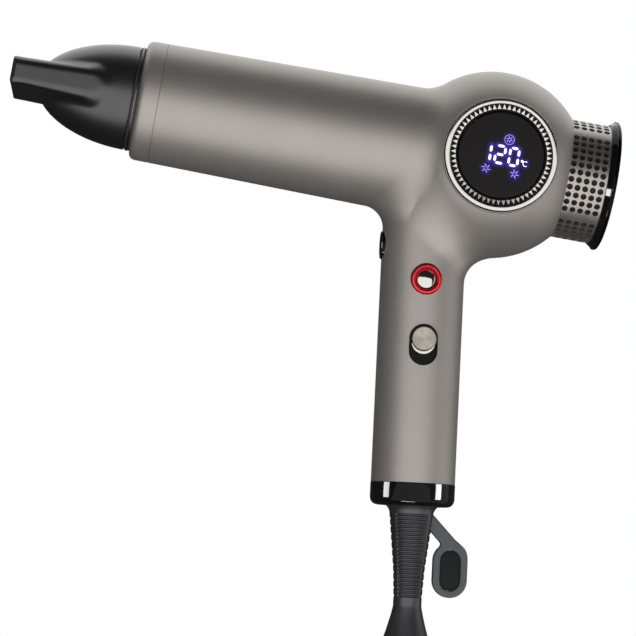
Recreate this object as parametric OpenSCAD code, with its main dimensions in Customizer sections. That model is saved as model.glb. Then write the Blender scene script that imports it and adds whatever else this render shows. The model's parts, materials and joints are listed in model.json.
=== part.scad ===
// Hair dryer with a straight barrel, a spherical rear bulb that carries a round dial display,
// a perforated inlet sleeve, a slip-on concentrator nozzle and a round handle.
// The origin is the middle of the grip. The barrel lies along X, nozzle towards -X.
// The display and the switches face -Y.

/* [Barrel] */
// Radius of the spherical bulb
bulb_r = 42.4; // [41:0.1:44]
// Radius of the barrel where it meets the bulb
barrel_rear_r = 28.9; // [28.4:0.1:29.4]
// Radius of the barrel at its front joint
barrel_front_r = 27.2; // [27:0.1:27.6]
// Distance from the bulb's centre to the front joint
barrel_len = 153.6; // [150:0.1:158]
// Wall of the housing shells
wall = 2.2; // [2:0.1:2.4]
// Radius of the concave blend from barrel to bulb
bulb_blend_r = 12; // [10:0.5:13]

/* [Front] */
// Length of the front ring
front_ring_len = 9.2; // [8.6:0.1:10]
// Radius of the nozzle collar's bright band
collar_band_r = 23.9; // [23.6:0.1:24.4]
// Largest radius of the nozzle's dome
nozzle_r = 23.5; // [23:0.1:23.8]
// Length from the dome's base to the mouth
nozzle_len = 54.4; // [50:0.1:58]
// Width of the mouth
mouth_w = 54; // [46:1:54]
// Height of the mouth
mouth_h = 11.2; // [10.4:0.1:12]
// Height of the mouth's duct where it leaves the dome
duct_root_h = 15; // [13:0.5:15]
// How far the nozzle pulls off
nozzle_pull = 30; // [10:1:40]

/* [Inlet] */
// Outer radius of the perforated sleeve
sleeve_r = 27.1; // [27:0.05:27.2]
// Where the sleeve ends behind the bulb's centre
sleeve_end = 50; // [49:0.1:51]
// Radius of the flared rim
rim_r = 29.6; // [29:0.1:30]
// Length of the flared rim
rim_len = 4.4; // [4:0.1:5]
// Diameter of one hole of the sleeve
hole_d = 2.75; // [2.2:0.05:2.8]
// Rows of holes in each of the four groups
hole_rows = 11; // [9:1:11]
// Columns of holes along the sleeve
hole_columns = 5; // [3:1:5]
// Pitch of the holes
hole_pitch = 3.33; // [3.2:0.01:3.4]

/* [Display] */
// Radius of the opening for the display
display_r = 25.9; // [25.6:0.1:26.2]
// Radius of the display glass
lens_r = 19.2; // [18.6:0.1:19.4]
// Height of the glass above the barrel axis
lens_face = 36.1; // [35.8:0.1:36.4]
// Outer radius of the dial ring
dial_r = 25.1; // [24.8:0.1:25.1]
// Radius where the dial's bright band begins
dial_band_r = 22.9; // [22.3:0.1:23]
// Number of grip teeth on the dial ring
dial_teeth = 60; // [48:2:64]

/* [Handle] */
// Radius of the handle
handle_r = 19; // [18.6:0.1:19.4]
// Lean of the handle, its lower end towards the rear
lean = 7.2; // [6:0.1:10]
// Drop from the barrel axis to the middle of the grip
grip_drop = 105; // [100:1:110]
// Distance between the bulb's centre and the handle's axis, along the barrel
bulb_to_handle = 29.2; // [28:0.1:30]
// Distance from the barrel axis to the handle's lower joint
handle_len = 150; // [148:1:154]
// Length of the glossy lower collar
collar_len = 10.3; // [10:0.1:11]

/* [Controls] */
// Drop of the speed button
speed_t = 43; // [42:0.1:44]
// Travel of both push buttons
press = 1.5; // [1:0.1:1.5]
// Drop of the cool-shot button
cool_t = 59; // [58:0.1:60]
// Drop of the slide switch's slot
switch_t = 88.5; // [87:0.1:90]
// Width of the slide switch's slot
slot_w = 12.7; // [12.5:0.1:13]
// Length of the slide switch's slot
slot_len = 18.4; // [18.2:0.1:20]
// Radius of the slide switch's disc
knob_r = 5.6; // [5.2:0.1:5.6]
// How far the thumb ledge stands out below the disc
ledge = 1.35; // [0.5:0.05:1.35]
// Travel of the slide switch
switch_travel = 4.3; // [3:0.1:4.3]

/* [Strain relief] */
// Length of the boot below the collar
boot_len = 64.7; // [62:0.1:66]
// Radius of the hole for the cord
cord_bore_r = 4; // [3.5:0.1:4]
// Pitch of the boot's notches
notch_pitch = 3.4; // [3.2:0.1:3.6]
// Number of notches
notches = 11; // [9:1:11]
// Thickness of the hang tab
tab_t = 5.6; // [5:0.1:6]

/* [Hidden] */
$fn = 64;

axis_z = grip_drop * cos(lean);
handle_top_x = -grip_drop * sin(lean);
bulb_x = handle_top_x + bulb_to_handle;
inner_bulb_r = bulb_r - wall;
front_x = -barrel_len - front_ring_len;
collar_front = front_x - 2.5;
nozzle_base = collar_front - 0.15;
land_back = front_x + 6.7;
boot_top = handle_len + collar_len;
boot_end = boot_top + boot_len;
duct_r = 22;
duct_outer_r = 23.6;
shaft_r = 1.5;
neck_r = 20.2;
flange_r = 28.4;
screw_circle_r = 26.9;
seat_r = 25;
seat_end = sleeve_end - 0.4;
board_y = 2;
cap_stem_end = 11.3;
guide = 5.2;
knob_t = switch_t - slot_len / 2 + knob_r + 1;
button_back = 15;
switch_face = 9.5;
play = 0.3;
big = 200;

// Places its children on the barrel axis: z runs rearwards from the bulb's centre.
module along_barrel(u = 0) {
    translate([bulb_x + u, 0, axis_z]) rotate([0, 90, 0]) children();
}

// Places its children on the handle axis: z runs down from the barrel axis, x points forwards.
module along_handle(t = 0) {
    translate([handle_top_x, 0, axis_z]) rotate([0, 180 - lean, 0])
        translate([0, 0, t]) children();
}

// On the handle's -Y face at drop t: z points out of the face, y runs down.
module on_face(t) {
    along_handle(t) rotate([90, 0, 0]) children();
}

// On the handle's front at drop t: z points forwards.
module on_front(t) {
    along_handle(t) rotate([0, 90, 0]) children();
}

// On the bulb's -Y side: z points out of the display.
module on_display() {
    translate([bulb_x, 0, axis_z]) rotate([90, 0, 0]) children();
}

module ring(r_out, r_in, z0, z1) {
    translate([0, 0, z0]) difference() {
        cylinder(r = r_out, h = z1 - z0);
        translate([0, 0, -1]) cylinder(r = r_in, h = z1 - z0 + 2);
    }
}

module disc(r, z0, z1) {
    translate([0, 0, z0]) cylinder(r = r, h = z1 - z0);
}

module box(x0, y0, z0, x1, y1, z1) {
    translate([x0, y0, z0]) cube([x1 - x0, y1 - y0, z1 - z0]);
}

module stadium(w, h) {
    square([w - h, h], center = true);
    for (side = [-1, 1]) translate([side * (w - h) / 2, 0]) circle(d = h);
}

// Solid outline of barrel and bulb, drawn in by the given inset.
module barrel_solid(inset = 0) {
    bulb = bulb_r - inset;
    blend = bulb_blend_r + inset;
    rear = barrel_rear_r - inset;
    centre_r = rear + blend;
    centre_z = -sqrt(pow(bulb + blend, 2) - pow(centre_r, 2));
    k = bulb / (bulb + blend);
    rotate_extrude() {
        intersection() {
            circle(r = bulb);
            translate([0, -bulb]) square([bulb, 2 * bulb]);
        }
        polygon([[0, -barrel_len - (inset > 0 ? 1 : 0)], [barrel_front_r - inset, -barrel_len
            - (inset > 0 ? 1 : 0)], [rear, centre_z], [rear, 0], [0, 0]]);
        difference() {
            polygon([[rear - 1, centre_z], [rear, centre_z], [centre_r * k, centre_z * k],
                [rear - 1, centre_z * k]]);
            translate([centre_r, centre_z]) circle(r = blend);
        }
    }
}

module handle_solid(inset = 0) {
    r = handle_r - inset;
    rotate_extrude() {
        translate([0, 12]) square([r, handle_len - 12 + (inset > 0 ? 1 : 0)]);
        difference() {
            translate([0, 24]) square([r + 5, 12]);
            translate([r + 12, 36]) circle(r = 12);
            translate([r + 4.6, 23]) square([6, 14]);
        }
    }
}

// One half of the housing; side is -1 on the display side and 1 on the other.
module housing_half(side) {
    difference() {
        intersection() {
            union() {
                difference() {
                    union() {
                        along_barrel() barrel_solid();
                        along_handle() handle_solid();
                    }
                    along_barrel() barrel_solid(wall);
                    along_handle() handle_solid(wall);
                }
                along_barrel() ring(36, flange_r + 0.1, 17, 21.4);
            }
            translate([-big, side < 0 ? -big : 0, -big]) cube([2 * big, big, 2 * big]);
        }
        along_barrel() disc(sleeve_r + play, 20, 50);
        on_front(speed_t) disc(6.5, 8, 24);
        if (side < 0) {
            on_display() disc(display_r, 20, 50);
            on_face(cool_t) disc(7.1, 8, 24);
            on_face(switch_t) translate([0, 0, 8]) linear_extrude(16)
                rotate(90) stadium(slot_len + 0.2, slot_w + 0.2);
        }
    }
}

module housing_left() { color("#8c8782") housing_half(-1); }
module housing_right() { color("#8c8782") housing_half(1); }

module front_ring() {
    edge = 3;
    r = barrel_front_r - 0.1;
    color("#8c8782") along_barrel() difference() {
        rotate_extrude() {
            translate([0, front_x + edge]) square([r, front_ring_len - edge]);
            translate([0, front_x]) square([r - edge, edge + 1]);
            translate([r - edge, front_x + edge]) circle(r = edge);
            translate([0, -barrel_len - 1]) square([barrel_front_r - wall - 0.1, 11]);
        }
        disc(22.8, front_x - 1, front_x + 4.35);
        disc(18.8, front_x, -140);
        disc(22.8, land_back, -140);
        disc(24.1, -152, -140);
        for (a = [0 : 45 : 315]) rotate(a) translate([21, 0, front_x + 4])
            cylinder(r = 1.55, h = 2.35);
    }
}

module outlet_grille() {
    color("#1c1c1f") along_barrel(land_back) {
        for (r = [4.5 : 4.5 : 18]) ring(r + 0.5, r - 0.5, 0, 2);
        ring(22.7, 21.5, 0, 2);
        disc(1.6, 0, 2);
        for (a = [0 : 60 : 300]) rotate(a) box(1, -0.5, 0.2, 22.1, 0.5, 1.8);
    }
}

module nozzle_magnets() {
    color("#c8c8cc") along_barrel() for (a = [0 : 45 : 315])
        rotate(a) translate([21, 0, front_x + 4.35]) cylinder(r = 1.5, h = 1.95);
}

module nozzle_collar() {
    color("#b8b8bc") along_barrel() difference() {
        union() {
            disc(22.4, front_x, front_x + 4.2);
            disc(collar_band_r - 0.7, collar_front, front_x);
            disc(collar_band_r, collar_front + 0.5, front_x - 0.5);
            disc(neck_r, collar_front - 7, collar_front);
        }
        disc(18.8, collar_front - 8, front_x + 6);
    }
}

// Half an ellipse turned about the barrel axis, with its base at z = 0.
module nozzle_dome(r, len) {
    intersection() {
        scale([1, 1, len / r]) sphere(r = r);
        translate([0, 0, -len - 1]) cylinder(r = r + 1, h = len + 1);
    }
}

// Flat duct that widens and thins towards the mouth at z = -len.
module flat_duct(len, tip_w, tip_h, root_w, root_h, root) {
    intersection() {
        rotate([90, 0, 0]) translate([0, 0, -big / 2]) linear_extrude(big)
            polygon([[-tip_h / 2, -len], [tip_h / 2, -len], [root_h / 2, -root],
                [-root_h / 2, -root]]);
        rotate([90, 0, 90]) translate([0, 0, -big / 2]) linear_extrude(big)
            polygon([[-tip_w / 2, -len], [tip_w / 2, -len], [root_w / 2, -root],
                [-root_w / 2, -root]]);
    }
}

module nozzle() {
    dome_len = 44;
    socket = 8.8;
    skin = 1.6;
    root_w = 42;
    root = 12;
    color("#1c1c1f") along_barrel(nozzle_base) difference() {
        union() {
            nozzle_dome(nozzle_r, dome_len);
            flat_duct(nozzle_len, mouth_w, mouth_h, root_w, duct_root_h, root);
        }
        translate([0, 0, -socket - 0.2]) cylinder(r = neck_r + 0.05, h = 10);
        translate([0, 0, -socket]) nozzle_dome(nozzle_r - 3.2, dome_len - socket - 3);
        flat_duct(nozzle_len + 1, mouth_w - 2 * skin, mouth_h - 2 * skin,
            root_w - 4 * skin, duct_root_h - 3 * skin, root);
    }
}

module heat_shield() {
    color("#d8cfae") along_barrel() ring(24, 23.2, -151.8, -62);
}

module heater_frame() {
    color("#cfc096") along_barrel(-140) linear_extrude(66) {
        square([45, 1], center = true);
        for (side = [-1, 1]) translate([-0.5, side > 0 ? 0.5 : -22.5]) square([1, 22]);
    }
}

module heater_coils() {
    color("#b9b4a8") along_barrel(-136) for (i = [0 : 9])
        translate([0, 0, 6.2 * i]) rotate_extrude() translate([18, 0]) circle(r = 0.8);
}

module thermostat() {
    color("#c9a24a") along_barrel(-96) translate([8, 8, 0]) {
        cylinder(r = 4, h = 6);
        translate([0, 0, 6]) cylinder(r = 1.5, h = 3);
    }
}

module thermal_fuse() {
    color("#c9a24a") along_barrel(-100) translate([-8, 8, 0]) cylinder(r = 1.6, h = 12);
}

module ion_generator() {
    color("#2a4a7a") along_handle() box(-9, -8, 99, 9, board_y, 117);
}

module ion_needles() {
    color("#c8c8cc") along_barrel() for (side = [-1, 1]) translate([2.8, 7 * side, -153.8]) {
        cylinder(r = 0.4, h = 12);
        translate([0, 0, 12]) cylinder(r = 1.1, h = 1.5);
    }
}

module fan_duct() {
    color("#3a3a3e") along_barrel() {
        ring(duct_outer_r, duct_r, -34, 25.4);
        ring(13.6, 12.05, -12, 6);
        for (a = [0 : 40 : 320]) rotate(a) translate([0, 0, -11])
            rotate([18, 0, 0]) box(12.3, -0.6, 0, 22.6, 0.6, 14);
        difference() {
            ring(flange_r, duct_outer_r - 0.5, 21.6, 25.4);
            for (a = [45 : 90 : 315]) rotate(a) translate([screw_circle_r, 0, 20])
                cylinder(r = 0.75, h = 8);
        }
    }
}

module duct_seals() {
    color("#2a2a2c") along_barrel() {
        ring(26.3, duct_outer_r + 0.02, -33, -29);
        ring(flange_r, duct_outer_r + 0.02, 18, 21.5);
    }
}

module motor_case() {
    color("#9a9aa0") along_barrel() {
        ring(12, 10.6, -14, 12);
        ring(10.6, 4.02, -14, -12);
        difference() {
            ring(10.6, 4.02, 10, 12);
            for (a = [0 : 60 : 300]) rotate(a) translate([7.4, 0, 9]) cylinder(r = 1.6, h = 4);
        }
    }
}

module motor_stator() {
    color("#a5673a") along_barrel() difference() {
        ring(10.55, 6.6, -6, 6);
        for (a = [0 : 60 : 300]) rotate(a) translate([8.4, 0, -7]) cylinder(r = 1.3, h = 14);
    }
}

module motor_bearings() {
    color("#c8c8cc") along_barrel() for (u = [-14, 9.5]) ring(4, shaft_r + 0.03, u, u + 2.5);
}

module motor_shaft() {
    color("#d0d0d4") along_barrel() disc(shaft_r, -15, 27);
}

module rotor_magnet() {
    color("#55555a") along_barrel() ring(6, shaft_r + 0.02, -6, 6);
}

module impeller() {
    blade_count = 11;
    color("#d9d9dc") along_barrel() {
        ring(8, shaft_r + 0.02, 13, 23);
        intersection() {
            for (i = [0 : blade_count - 1]) rotate(i * 360 / blade_count)
                translate([0, 0, 18]) rotate([38, 0, 0]) box(7, -0.5, -5.5, 23, 0.5, 5.5);
            ring(duct_r - 0.5, 8, 13.2, 22.8);
        }
    }
}

module impeller_nut() {
    color("#c8a14a") along_barrel() translate([0, 0, 23.05]) difference() {
        cylinder(r = 3, h = 2.6, $fn = 6);
        translate([0, 0, -1]) cylinder(r = shaft_r + 0.02, h = 5);
    }
}

// Tube that the sleeve slides on, with windows for the air and an end ring for the magnets.
module inlet_seat() {
    window_angle = 26;
    color("#2a2a2c") along_barrel() difference() {
        union() {
            ring(seat_r, 23.8, 25.5, seat_end);
            ring(flange_r, 23.8, 25.5, 28);
            ring(24.4, 20.6, seat_end - 2, seat_end);
        }
        for (a = [45 : 90 : 315]) rotate(a) translate([screw_circle_r, 0, 0]) {
            translate([0, 0, 25]) cylinder(r = 0.75, h = 4);
            translate([0, 0, 26.8]) cylinder(r = 1.45, h = 4);
        }
        for (a = [0 : 90 : 270], side = [-1, 1]) rotate(a + side * window_angle / 2)
            translate([24.5, 0, 39.5]) cube([4, 9, 13], center = true);
        for (a = [45 : 90 : 315]) rotate(a) translate([22.5, 0, seat_end - 1.2])
            cylinder(r = 1.35, h = 4);
    }
}

module inlet_screws() {
    color("#c8c8cc") along_barrel() for (a = [45 : 90 : 315]) rotate(a)
        translate([screw_circle_r, 0, 0]) {
            translate([0, 0, 21.7]) cylinder(r = 0.7, h = 5.2);
            translate([0, 0, 26.85]) cylinder(r = 1.4, h = 1);
        }
}

module inlet_magnets() {
    color("#c8c8cc") along_barrel() for (a = [45 : 90 : 315]) rotate(a)
        translate([22.5, 0, seat_end - 1.15]) cylinder(r = 1.3, h = 1.1);
}

module filter_sleeve() {
    first = 33.2 + hole_pitch / 2;
    row_angle = asin(hole_pitch / sleeve_r);
    color("#9a958e") along_barrel() difference() {
        ring(sleeve_r, sleeve_r - 1.5, 30, sleeve_end);
        for (g = [0 : 3], row = [0 : hole_rows - 1], col = [0 : hole_columns - 1])
            rotate(90 * g + (row - (hole_rows - 1) / 2) * row_angle)
                translate([sleeve_r - 4, 0, first + col * hole_pitch])
                    rotate([0, 90, 0]) cylinder(d = hole_d, h = 6, $fn = 24);
    }
}

module filter_rim() {
    edge = 1;
    dish_r = 60;
    flare = rim_r - sleeve_r;
    color("#141416") along_barrel(sleeve_end) rotate_extrude() difference() {
        union() {
            square([rim_r - edge, rim_len]);
            square([rim_r, rim_len - edge]);
            translate([rim_r - edge, rim_len - edge]) circle(r = edge);
        }
        translate([rim_r + 0.1, -0.1]) circle(r = flare);
        translate([0, rim_len + dish_r - 2]) circle(r = dish_r);
    }
}

module filter_mesh() {
    color("#b8b8bc") along_barrel() ring(sleeve_r - 1.52, sleeve_r - 1.7, 30.2, sleeve_end);
}

module display_bezel() {
    color("#5a5650") on_display() {
        ring(display_r - 0.05, dial_r + 0.25, 29, 35);
        disc(dial_r + 0.25, 29, 31);
        ring(lens_r, 17.5, 31, 34.3);
    }
}

module dial_ring() {
    inner_r = lens_r + 0.3;
    color("#c8c8cc") on_display() {
        ring(dial_r, dial_band_r, 31.3, 36.6);
        ring(dial_band_r, inner_r, 31.3, 35.6);
        difference() {
            ring(dial_band_r, inner_r + 0.6, 35.6, 36.3);
            for (i = [0 : dial_teeth - 1]) rotate(i * 360 / dial_teeth)
                translate([19.4, 0, 35.3]) rotate(45) cube([2.6, 2.6, 4], center = true);
        }
    }
}

module display_lens() {
    color("#222020") on_display() disc(lens_r, 34.3, lens_face);
}

module display_board() {
    color("#1d5a38") on_display() {
        disc(17.4, 31, 32.6);
        box(-11, -5, 32.6, 11, 5, 34);
    }
}

module speed_button_bezel() {
    color("#b8b8bc") on_front(speed_t) ring(6.45, 5.4, 15.4, 19.6);
}

module speed_button() {
    color("#141416") on_front(speed_t) {
        disc(5.32, button_back, 20.1);
        disc(1.4, cap_stem_end, button_back);
    }
}

module push_spring(turns, z0, z1) {
    wire = 0.3;
    step = (z1 - z0 - 2 * wire) / (turns - 1);
    for (i = [0 : turns - 1]) translate([0, 0, z0 + wire + i * step])
        rotate_extrude() translate([2.6, 0]) circle(r = wire);
}

module speed_button_spring() {
    color("#c8c8cc") on_front(speed_t) push_spring(5, switch_face + 0.05, button_back - 0.05);
}

module speed_button_switch() {
    color("#1a1a1c") on_front(speed_t) box(-4, -4, 4.5, 4, board_y, switch_face);
}

module cool_shot_ring() {
    color("#c8323a") on_face(cool_t) ring(7, 4.95, 15.4, 19.5);
}

module cool_shot_cap() {
    color("#d4d4d8") on_face(cool_t) {
        disc(4.87, button_back, 19.9);
        disc(1.4, cap_stem_end, button_back);
    }
}

module cool_shot_spring() {
    color("#c8c8cc") on_face(cool_t) push_spring(5, switch_face + 0.05, button_back - 0.05);
}

module cool_shot_switch() {
    color("#1a1a1c") on_face(cool_t) box(-4, -4, -board_y, 4, 4, switch_face);
}

module switch_frame() {
    color("#141416") on_face(switch_t) difference() {
        translate([0, 0, 14.4]) linear_extrude(5) rotate(90) stadium(slot_len, slot_w);
        translate([0, 0, 16.2]) linear_extrude(5) rotate(90) stadium(slot_len - 0.8, slot_w - 0.8);
        box(-2, -guide, 12, 2, guide, 18);
    }
}

module switch_knob() {
    color("#b5b2a8") on_face(knob_t) {
        disc(knob_r, 16.8, 20.2);
        translate([0, ledge, 0]) disc(knob_r, 16.8, 18.4);
        box(-1.6, -1.6, 12.2, 1.6, 1.6, 16.8);
    }
}

module switch_module() {
    color("#1a1a1c") on_face(switch_t) difference() {
        box(-5, -9, -board_y, 5, 9, 14.3);
        box(-2, -guide, 11.9, 2, guide, 15);
    }
}

module control_board() {
    color("#1d5a38") along_handle() {
        box(-12, board_y, 36, switch_face - 0.1, board_y + 1.6, 118);
        for (t = [54, 72, 96]) box(-6, board_y + 1.6, t, 6, board_y + 7, t + 12);
    }
}

module power_wires() {
    wire_r = 1.1;
    color("#a02a2a") along_handle() for (x = [-5, 0, 5]) {
        translate([x, 6.2, 29]) cylinder(r = wire_r, h = 25);
        translate([x, board_y + 0.8, 118]) cylinder(r = wire_r, h = 6);
    }
}

module terminal_block() {
    color("#d9d4c4") along_handle() difference() {
        box(-9, -7, 124, 9, 5, 134);
        for (x = [-5, 0, 5]) translate([x, -3, 130]) rotate([90, 0, 0]) cylinder(r = 1.2, h = 6);
    }
}

module cord_clamp() {
    color("#2a2a2c") along_handle() difference() {
        box(-11, -8, 136, 11, 8, 144);
        translate([0, 0, 135]) cylinder(r = cord_bore_r, h = 10);
        for (x = [-7.5, 7.5]) translate([x, 0, 140]) rotate([90, 0, 0])
            cylinder(r = 1.3, h = 20, center = true);
    }
}

module clamp_screws() {
    color("#c8c8cc") along_handle() for (x = [-7.5, 7.5]) translate([x, 0, 140])
        rotate([90, 0, 0]) {
            translate([0, 0, -7]) cylinder(r = 1.25, h = 15);
            translate([0, 0, 8]) cylinder(r = 2.4, h = 1.6);
        }
}

module handle_collar() {
    edge = 3.5;
    r = handle_r + 0.1;
    color("#101012") along_handle() difference() {
        rotate_extrude() {
            translate([0, handle_len]) square([r, collar_len - edge]);
            translate([0, handle_len]) square([r - edge, collar_len]);
            translate([r - edge, boot_top - edge]) circle(r = edge);
            translate([0, handle_len - 4]) square([handle_r - wall - 0.1, 5]);
        }
        disc(14.5, handle_len - 5, boot_top - 2.8);
        disc(9.95, handle_len, boot_top + 1);
    }
}

// Outline radius of the boot's tapered stretch, s below its top.
function boot_r(s) = s < 3.6 ? 9.9 + 1.9 * pow(1 - s / 3.6, 2) :
    s < 28.7 ? 9.9 - (s - 3.6) * 2.8 / 25.1 : max(6.4, 7.1 - (s - 28.7) * 0.7 / 12.4);
// Outline radius of the bell end, which flares like a trumpet from radius 6.4.
function bell_r(s) = 6.4 + 5.6 * pow(max(0, (s - 44.7) / (boot_len - 44.7)), 1.2);
function boot_outline(s) = s < 44.7 ? boot_r(s) : bell_r(s);

module strain_relief() {
    samples = 36;
    first_notch = 4.2;
    color("#2a2a2c") along_handle(boot_top) difference() {
        rotate_extrude() {
            polygon(concat([[0, 0]], [for (i = [0 : samples]) let (s = boot_len * i / samples)
                [boot_outline(s), s]], [[0, boot_len]]));
            translate([0, -6]) square([9.85, 6.5]);
            translate([0, -6]) square([13.5, 3]);
        }
        for (i = [0 : notches - 1]) let (s = first_notch + i * notch_pitch)
            ring(14, boot_outline(s) - 1.2, s, s + 1);
        disc(cord_bore_r, -8, boot_len + 1);
    }
}

// Outline of the hang tab in the plane of the handle: x forwards, y down from the boot's top.
module tab_outline() {
    loop_x = -18.4;
    loop_s = 28.1;
    translate([loop_x, loop_s]) rotate(90) stadium(24.8, 15.6);
    translate([-5, 5.7]) rotate(-61) translate([-15.5, -0.2]) square([15.5, 6.2]);
}

module hang_tab() {
    color("#55565a") along_handle(boot_top) difference() {
        rotate([90, 0, 0]) translate([0, 0, -tab_t / 2]) linear_extrude(tab_t) tab_outline();
        rotate([90, 0, 0]) translate([-18.4, 28.1, -5]) linear_extrude(10)
            rotate(90) stadium(18.1, 9.1);
        rotate_extrude() polygon([[0, -1], [11.9, -1], [11.9, 2], [boot_r(3.6) + 0.05, 3.6],
            [boot_r(28.7) + 0.05, 28.7], [boot_r(36) + 0.1, 36], [0, 36]]);
    }
}

module hang_tab_insert() {
    color("#1a1c1e") along_handle(boot_top) rotate([90, 0, 0])
        translate([-18.4, 28.1, -2]) linear_extrude(4) rotate(90) stadium(18.1, 9.1);
}

housing_left();
housing_right();
front_ring();
outlet_grille();
nozzle_magnets();
nozzle_collar();
nozzle();
heat_shield();
heater_frame();
heater_coils();
thermostat();
thermal_fuse();
ion_generator();
ion_needles();
fan_duct();
duct_seals();
motor_case();
motor_stator();
motor_bearings();
motor_shaft();
rotor_magnet();
impeller();
impeller_nut();
inlet_seat();
inlet_screws();
inlet_magnets();
filter_sleeve();
filter_rim();
filter_mesh();
display_bezel();
dial_ring();
display_lens();
display_board();
speed_button_bezel();
speed_button();
speed_button_spring();
speed_button_switch();
cool_shot_ring();
cool_shot_cap();
cool_shot_spring();
cool_shot_switch();
switch_frame();
switch_knob();
switch_module();
control_board();
power_wires();
terminal_block();
cord_clamp();
clamp_screws();
handle_collar();
strain_relief();
hang_tab();
hang_tab_insert();
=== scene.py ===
"""Hair dryer: the visible model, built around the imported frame.

Lengths inside the modelling functions are millimetres, in the place of each piece: along the
barrel, along the handle, or out of the display. The finished pieces are in metres.
"""

import json
import math

import bmesh
import bpy
import numpy as np
from mathutils import Matrix, Vector


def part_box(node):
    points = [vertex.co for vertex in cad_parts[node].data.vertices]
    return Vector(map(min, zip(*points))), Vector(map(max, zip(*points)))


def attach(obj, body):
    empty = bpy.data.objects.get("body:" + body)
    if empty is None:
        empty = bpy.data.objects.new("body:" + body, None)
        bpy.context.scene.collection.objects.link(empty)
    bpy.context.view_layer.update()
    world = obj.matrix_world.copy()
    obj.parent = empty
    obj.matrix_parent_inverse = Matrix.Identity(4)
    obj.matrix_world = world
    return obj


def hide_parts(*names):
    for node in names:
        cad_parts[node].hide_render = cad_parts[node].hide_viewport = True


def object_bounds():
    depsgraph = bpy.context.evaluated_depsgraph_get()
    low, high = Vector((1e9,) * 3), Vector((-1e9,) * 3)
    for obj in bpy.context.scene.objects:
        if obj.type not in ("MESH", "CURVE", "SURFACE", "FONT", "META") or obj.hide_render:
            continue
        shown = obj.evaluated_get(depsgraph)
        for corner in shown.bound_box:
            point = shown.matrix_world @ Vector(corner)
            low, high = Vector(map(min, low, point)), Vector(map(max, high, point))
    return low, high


bl_info = {
    "name": "Hair dryer",
    "version": (1, 0, 0),
    "blender": (4, 5, 0),
    "location": "3D View > Sidebar > Hair dryer",
    "description": "Builds a hair dryer with its finishes and a studio round it",
    "category": "Object",
}

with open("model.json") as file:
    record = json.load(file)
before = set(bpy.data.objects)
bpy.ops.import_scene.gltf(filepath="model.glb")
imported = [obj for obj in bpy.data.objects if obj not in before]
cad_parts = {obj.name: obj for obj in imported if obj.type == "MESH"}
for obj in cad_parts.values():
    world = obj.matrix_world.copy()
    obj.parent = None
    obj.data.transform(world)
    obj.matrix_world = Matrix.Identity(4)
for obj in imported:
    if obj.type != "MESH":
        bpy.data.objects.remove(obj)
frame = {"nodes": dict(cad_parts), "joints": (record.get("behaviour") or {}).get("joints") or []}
CAD_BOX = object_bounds()

# The frame's own places: the bulb's centre, the way down the handle and the way forwards from it.
JOINTS = {joint["name"]: joint for joint in frame["joints"]}
BULB = Vector(JOINTS["fan_spin"]["pos_m"])
DOWN = Vector(JOINTS["switch_slide"]["axis"]).normalized()
FRONT = Vector((DOWN.z, 0, -DOWN.x))
SIDE = Vector((0, 1, 0))
HANDLE_TOP = DOWN * (BULB.z / DOWN.z)
MM = 0.001


def in_mm(metres):
    return metres / MM


def along_bulb(node, end):
    """Where a CAD node starts (0) or ends (1) behind the bulb's centre, in mm."""
    return in_mm(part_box(node)[end].x - BULB.x)


def drop_of(node):
    """How far a CAD node's middle lies down the handle from the barrel's axis, in mm."""
    low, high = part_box(node)
    return in_mm((Vector(low) + Vector(high)) / 2 @ DOWN - HANDLE_TOP @ DOWN)


HOUSING_FRONT = along_bulb("housing_left", 0)
RING_FRONT = along_bulb("front_ring", 0)
NOZZLE_TIP = along_bulb("nozzle", 0)
NOZZLE_BASE = along_bulb("nozzle", 1)
SLEEVE_END = along_bulb("filter_sleeve", 1)
RIM_END = along_bulb("filter_rim", 1)
SPEED_DROP = drop_of("speed_button_bezel")
COOL_DROP = drop_of("cool_shot_ring")
SLOT_DROP = drop_of("switch_frame")
LEDGE = 1.35  # how far the ledge stands out from under the knob's disc
KNOB_DROP = drop_of("switch_knob") - LEDGE / 2


def linear(hex_colour):
    """An sRGB hex colour as linear RGBA."""
    channels = [int(hex_colour[i:i + 2], 16) / 255 for i in (1, 3, 5)]
    low = [c / 12.92 for c in channels]
    high = [((c + 0.055) / 1.055) ** 2.4 for c in channels]
    return [h if c > 0.04045 else l for c, l, h in zip(channels, low, high)] + [1.0]


# ---------------------------------------------------------------- places

def place(origin, x, y, z):
    """Matrix from a piece's own millimetres to the frame's metres."""
    columns = Matrix((x, y, z)).transposed().to_4x4()
    return Matrix.Translation(origin) @ columns @ Matrix.Scale(MM, 4)


def on_barrel():
    """z runs rearwards along the barrel from the bulb's centre, x to the right side, y up."""
    return place(BULB, (0, 1, 0), (0, 0, 1), (1, 0, 0))


def on_handle():
    """z runs down the handle from the barrel's axis, x forwards, y to the right side."""
    return place(HANDLE_TOP, FRONT, SIDE, DOWN)


def on_face(drop):
    """z points out of the handle's left face, x rearwards, y up the handle."""
    return place(HANDLE_TOP + DOWN * drop * MM, -FRONT, -DOWN, -SIDE)


def on_front(drop):
    """z points forwards out of the handle, x up the handle."""
    return place(HANDLE_TOP + DOWN * drop * MM, -DOWN, SIDE, FRONT)


def on_display():
    """z points out of the display, x rearwards, y up."""
    return place(BULB, (1, 0, 0), (0, 0, 1), (0, -1, 0))


# ---------------------------------------------------------------- mesh work

def outwards(bm):
    """Turns the normals of closed shapes outwards, and those of a sheet all one way."""
    bmesh.ops.recalc_face_normals(bm, faces=bm.faces)
    return bm


def moved(bm, where):
    """The mesh, moved by a matrix."""
    bmesh.ops.transform(bm, matrix=where, verts=bm.verts)
    return bm


def verts_of(geom):
    """The vertices in what a bmesh operator returns."""
    return [g for g in geom if isinstance(g, bmesh.types.BMVert)]


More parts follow.
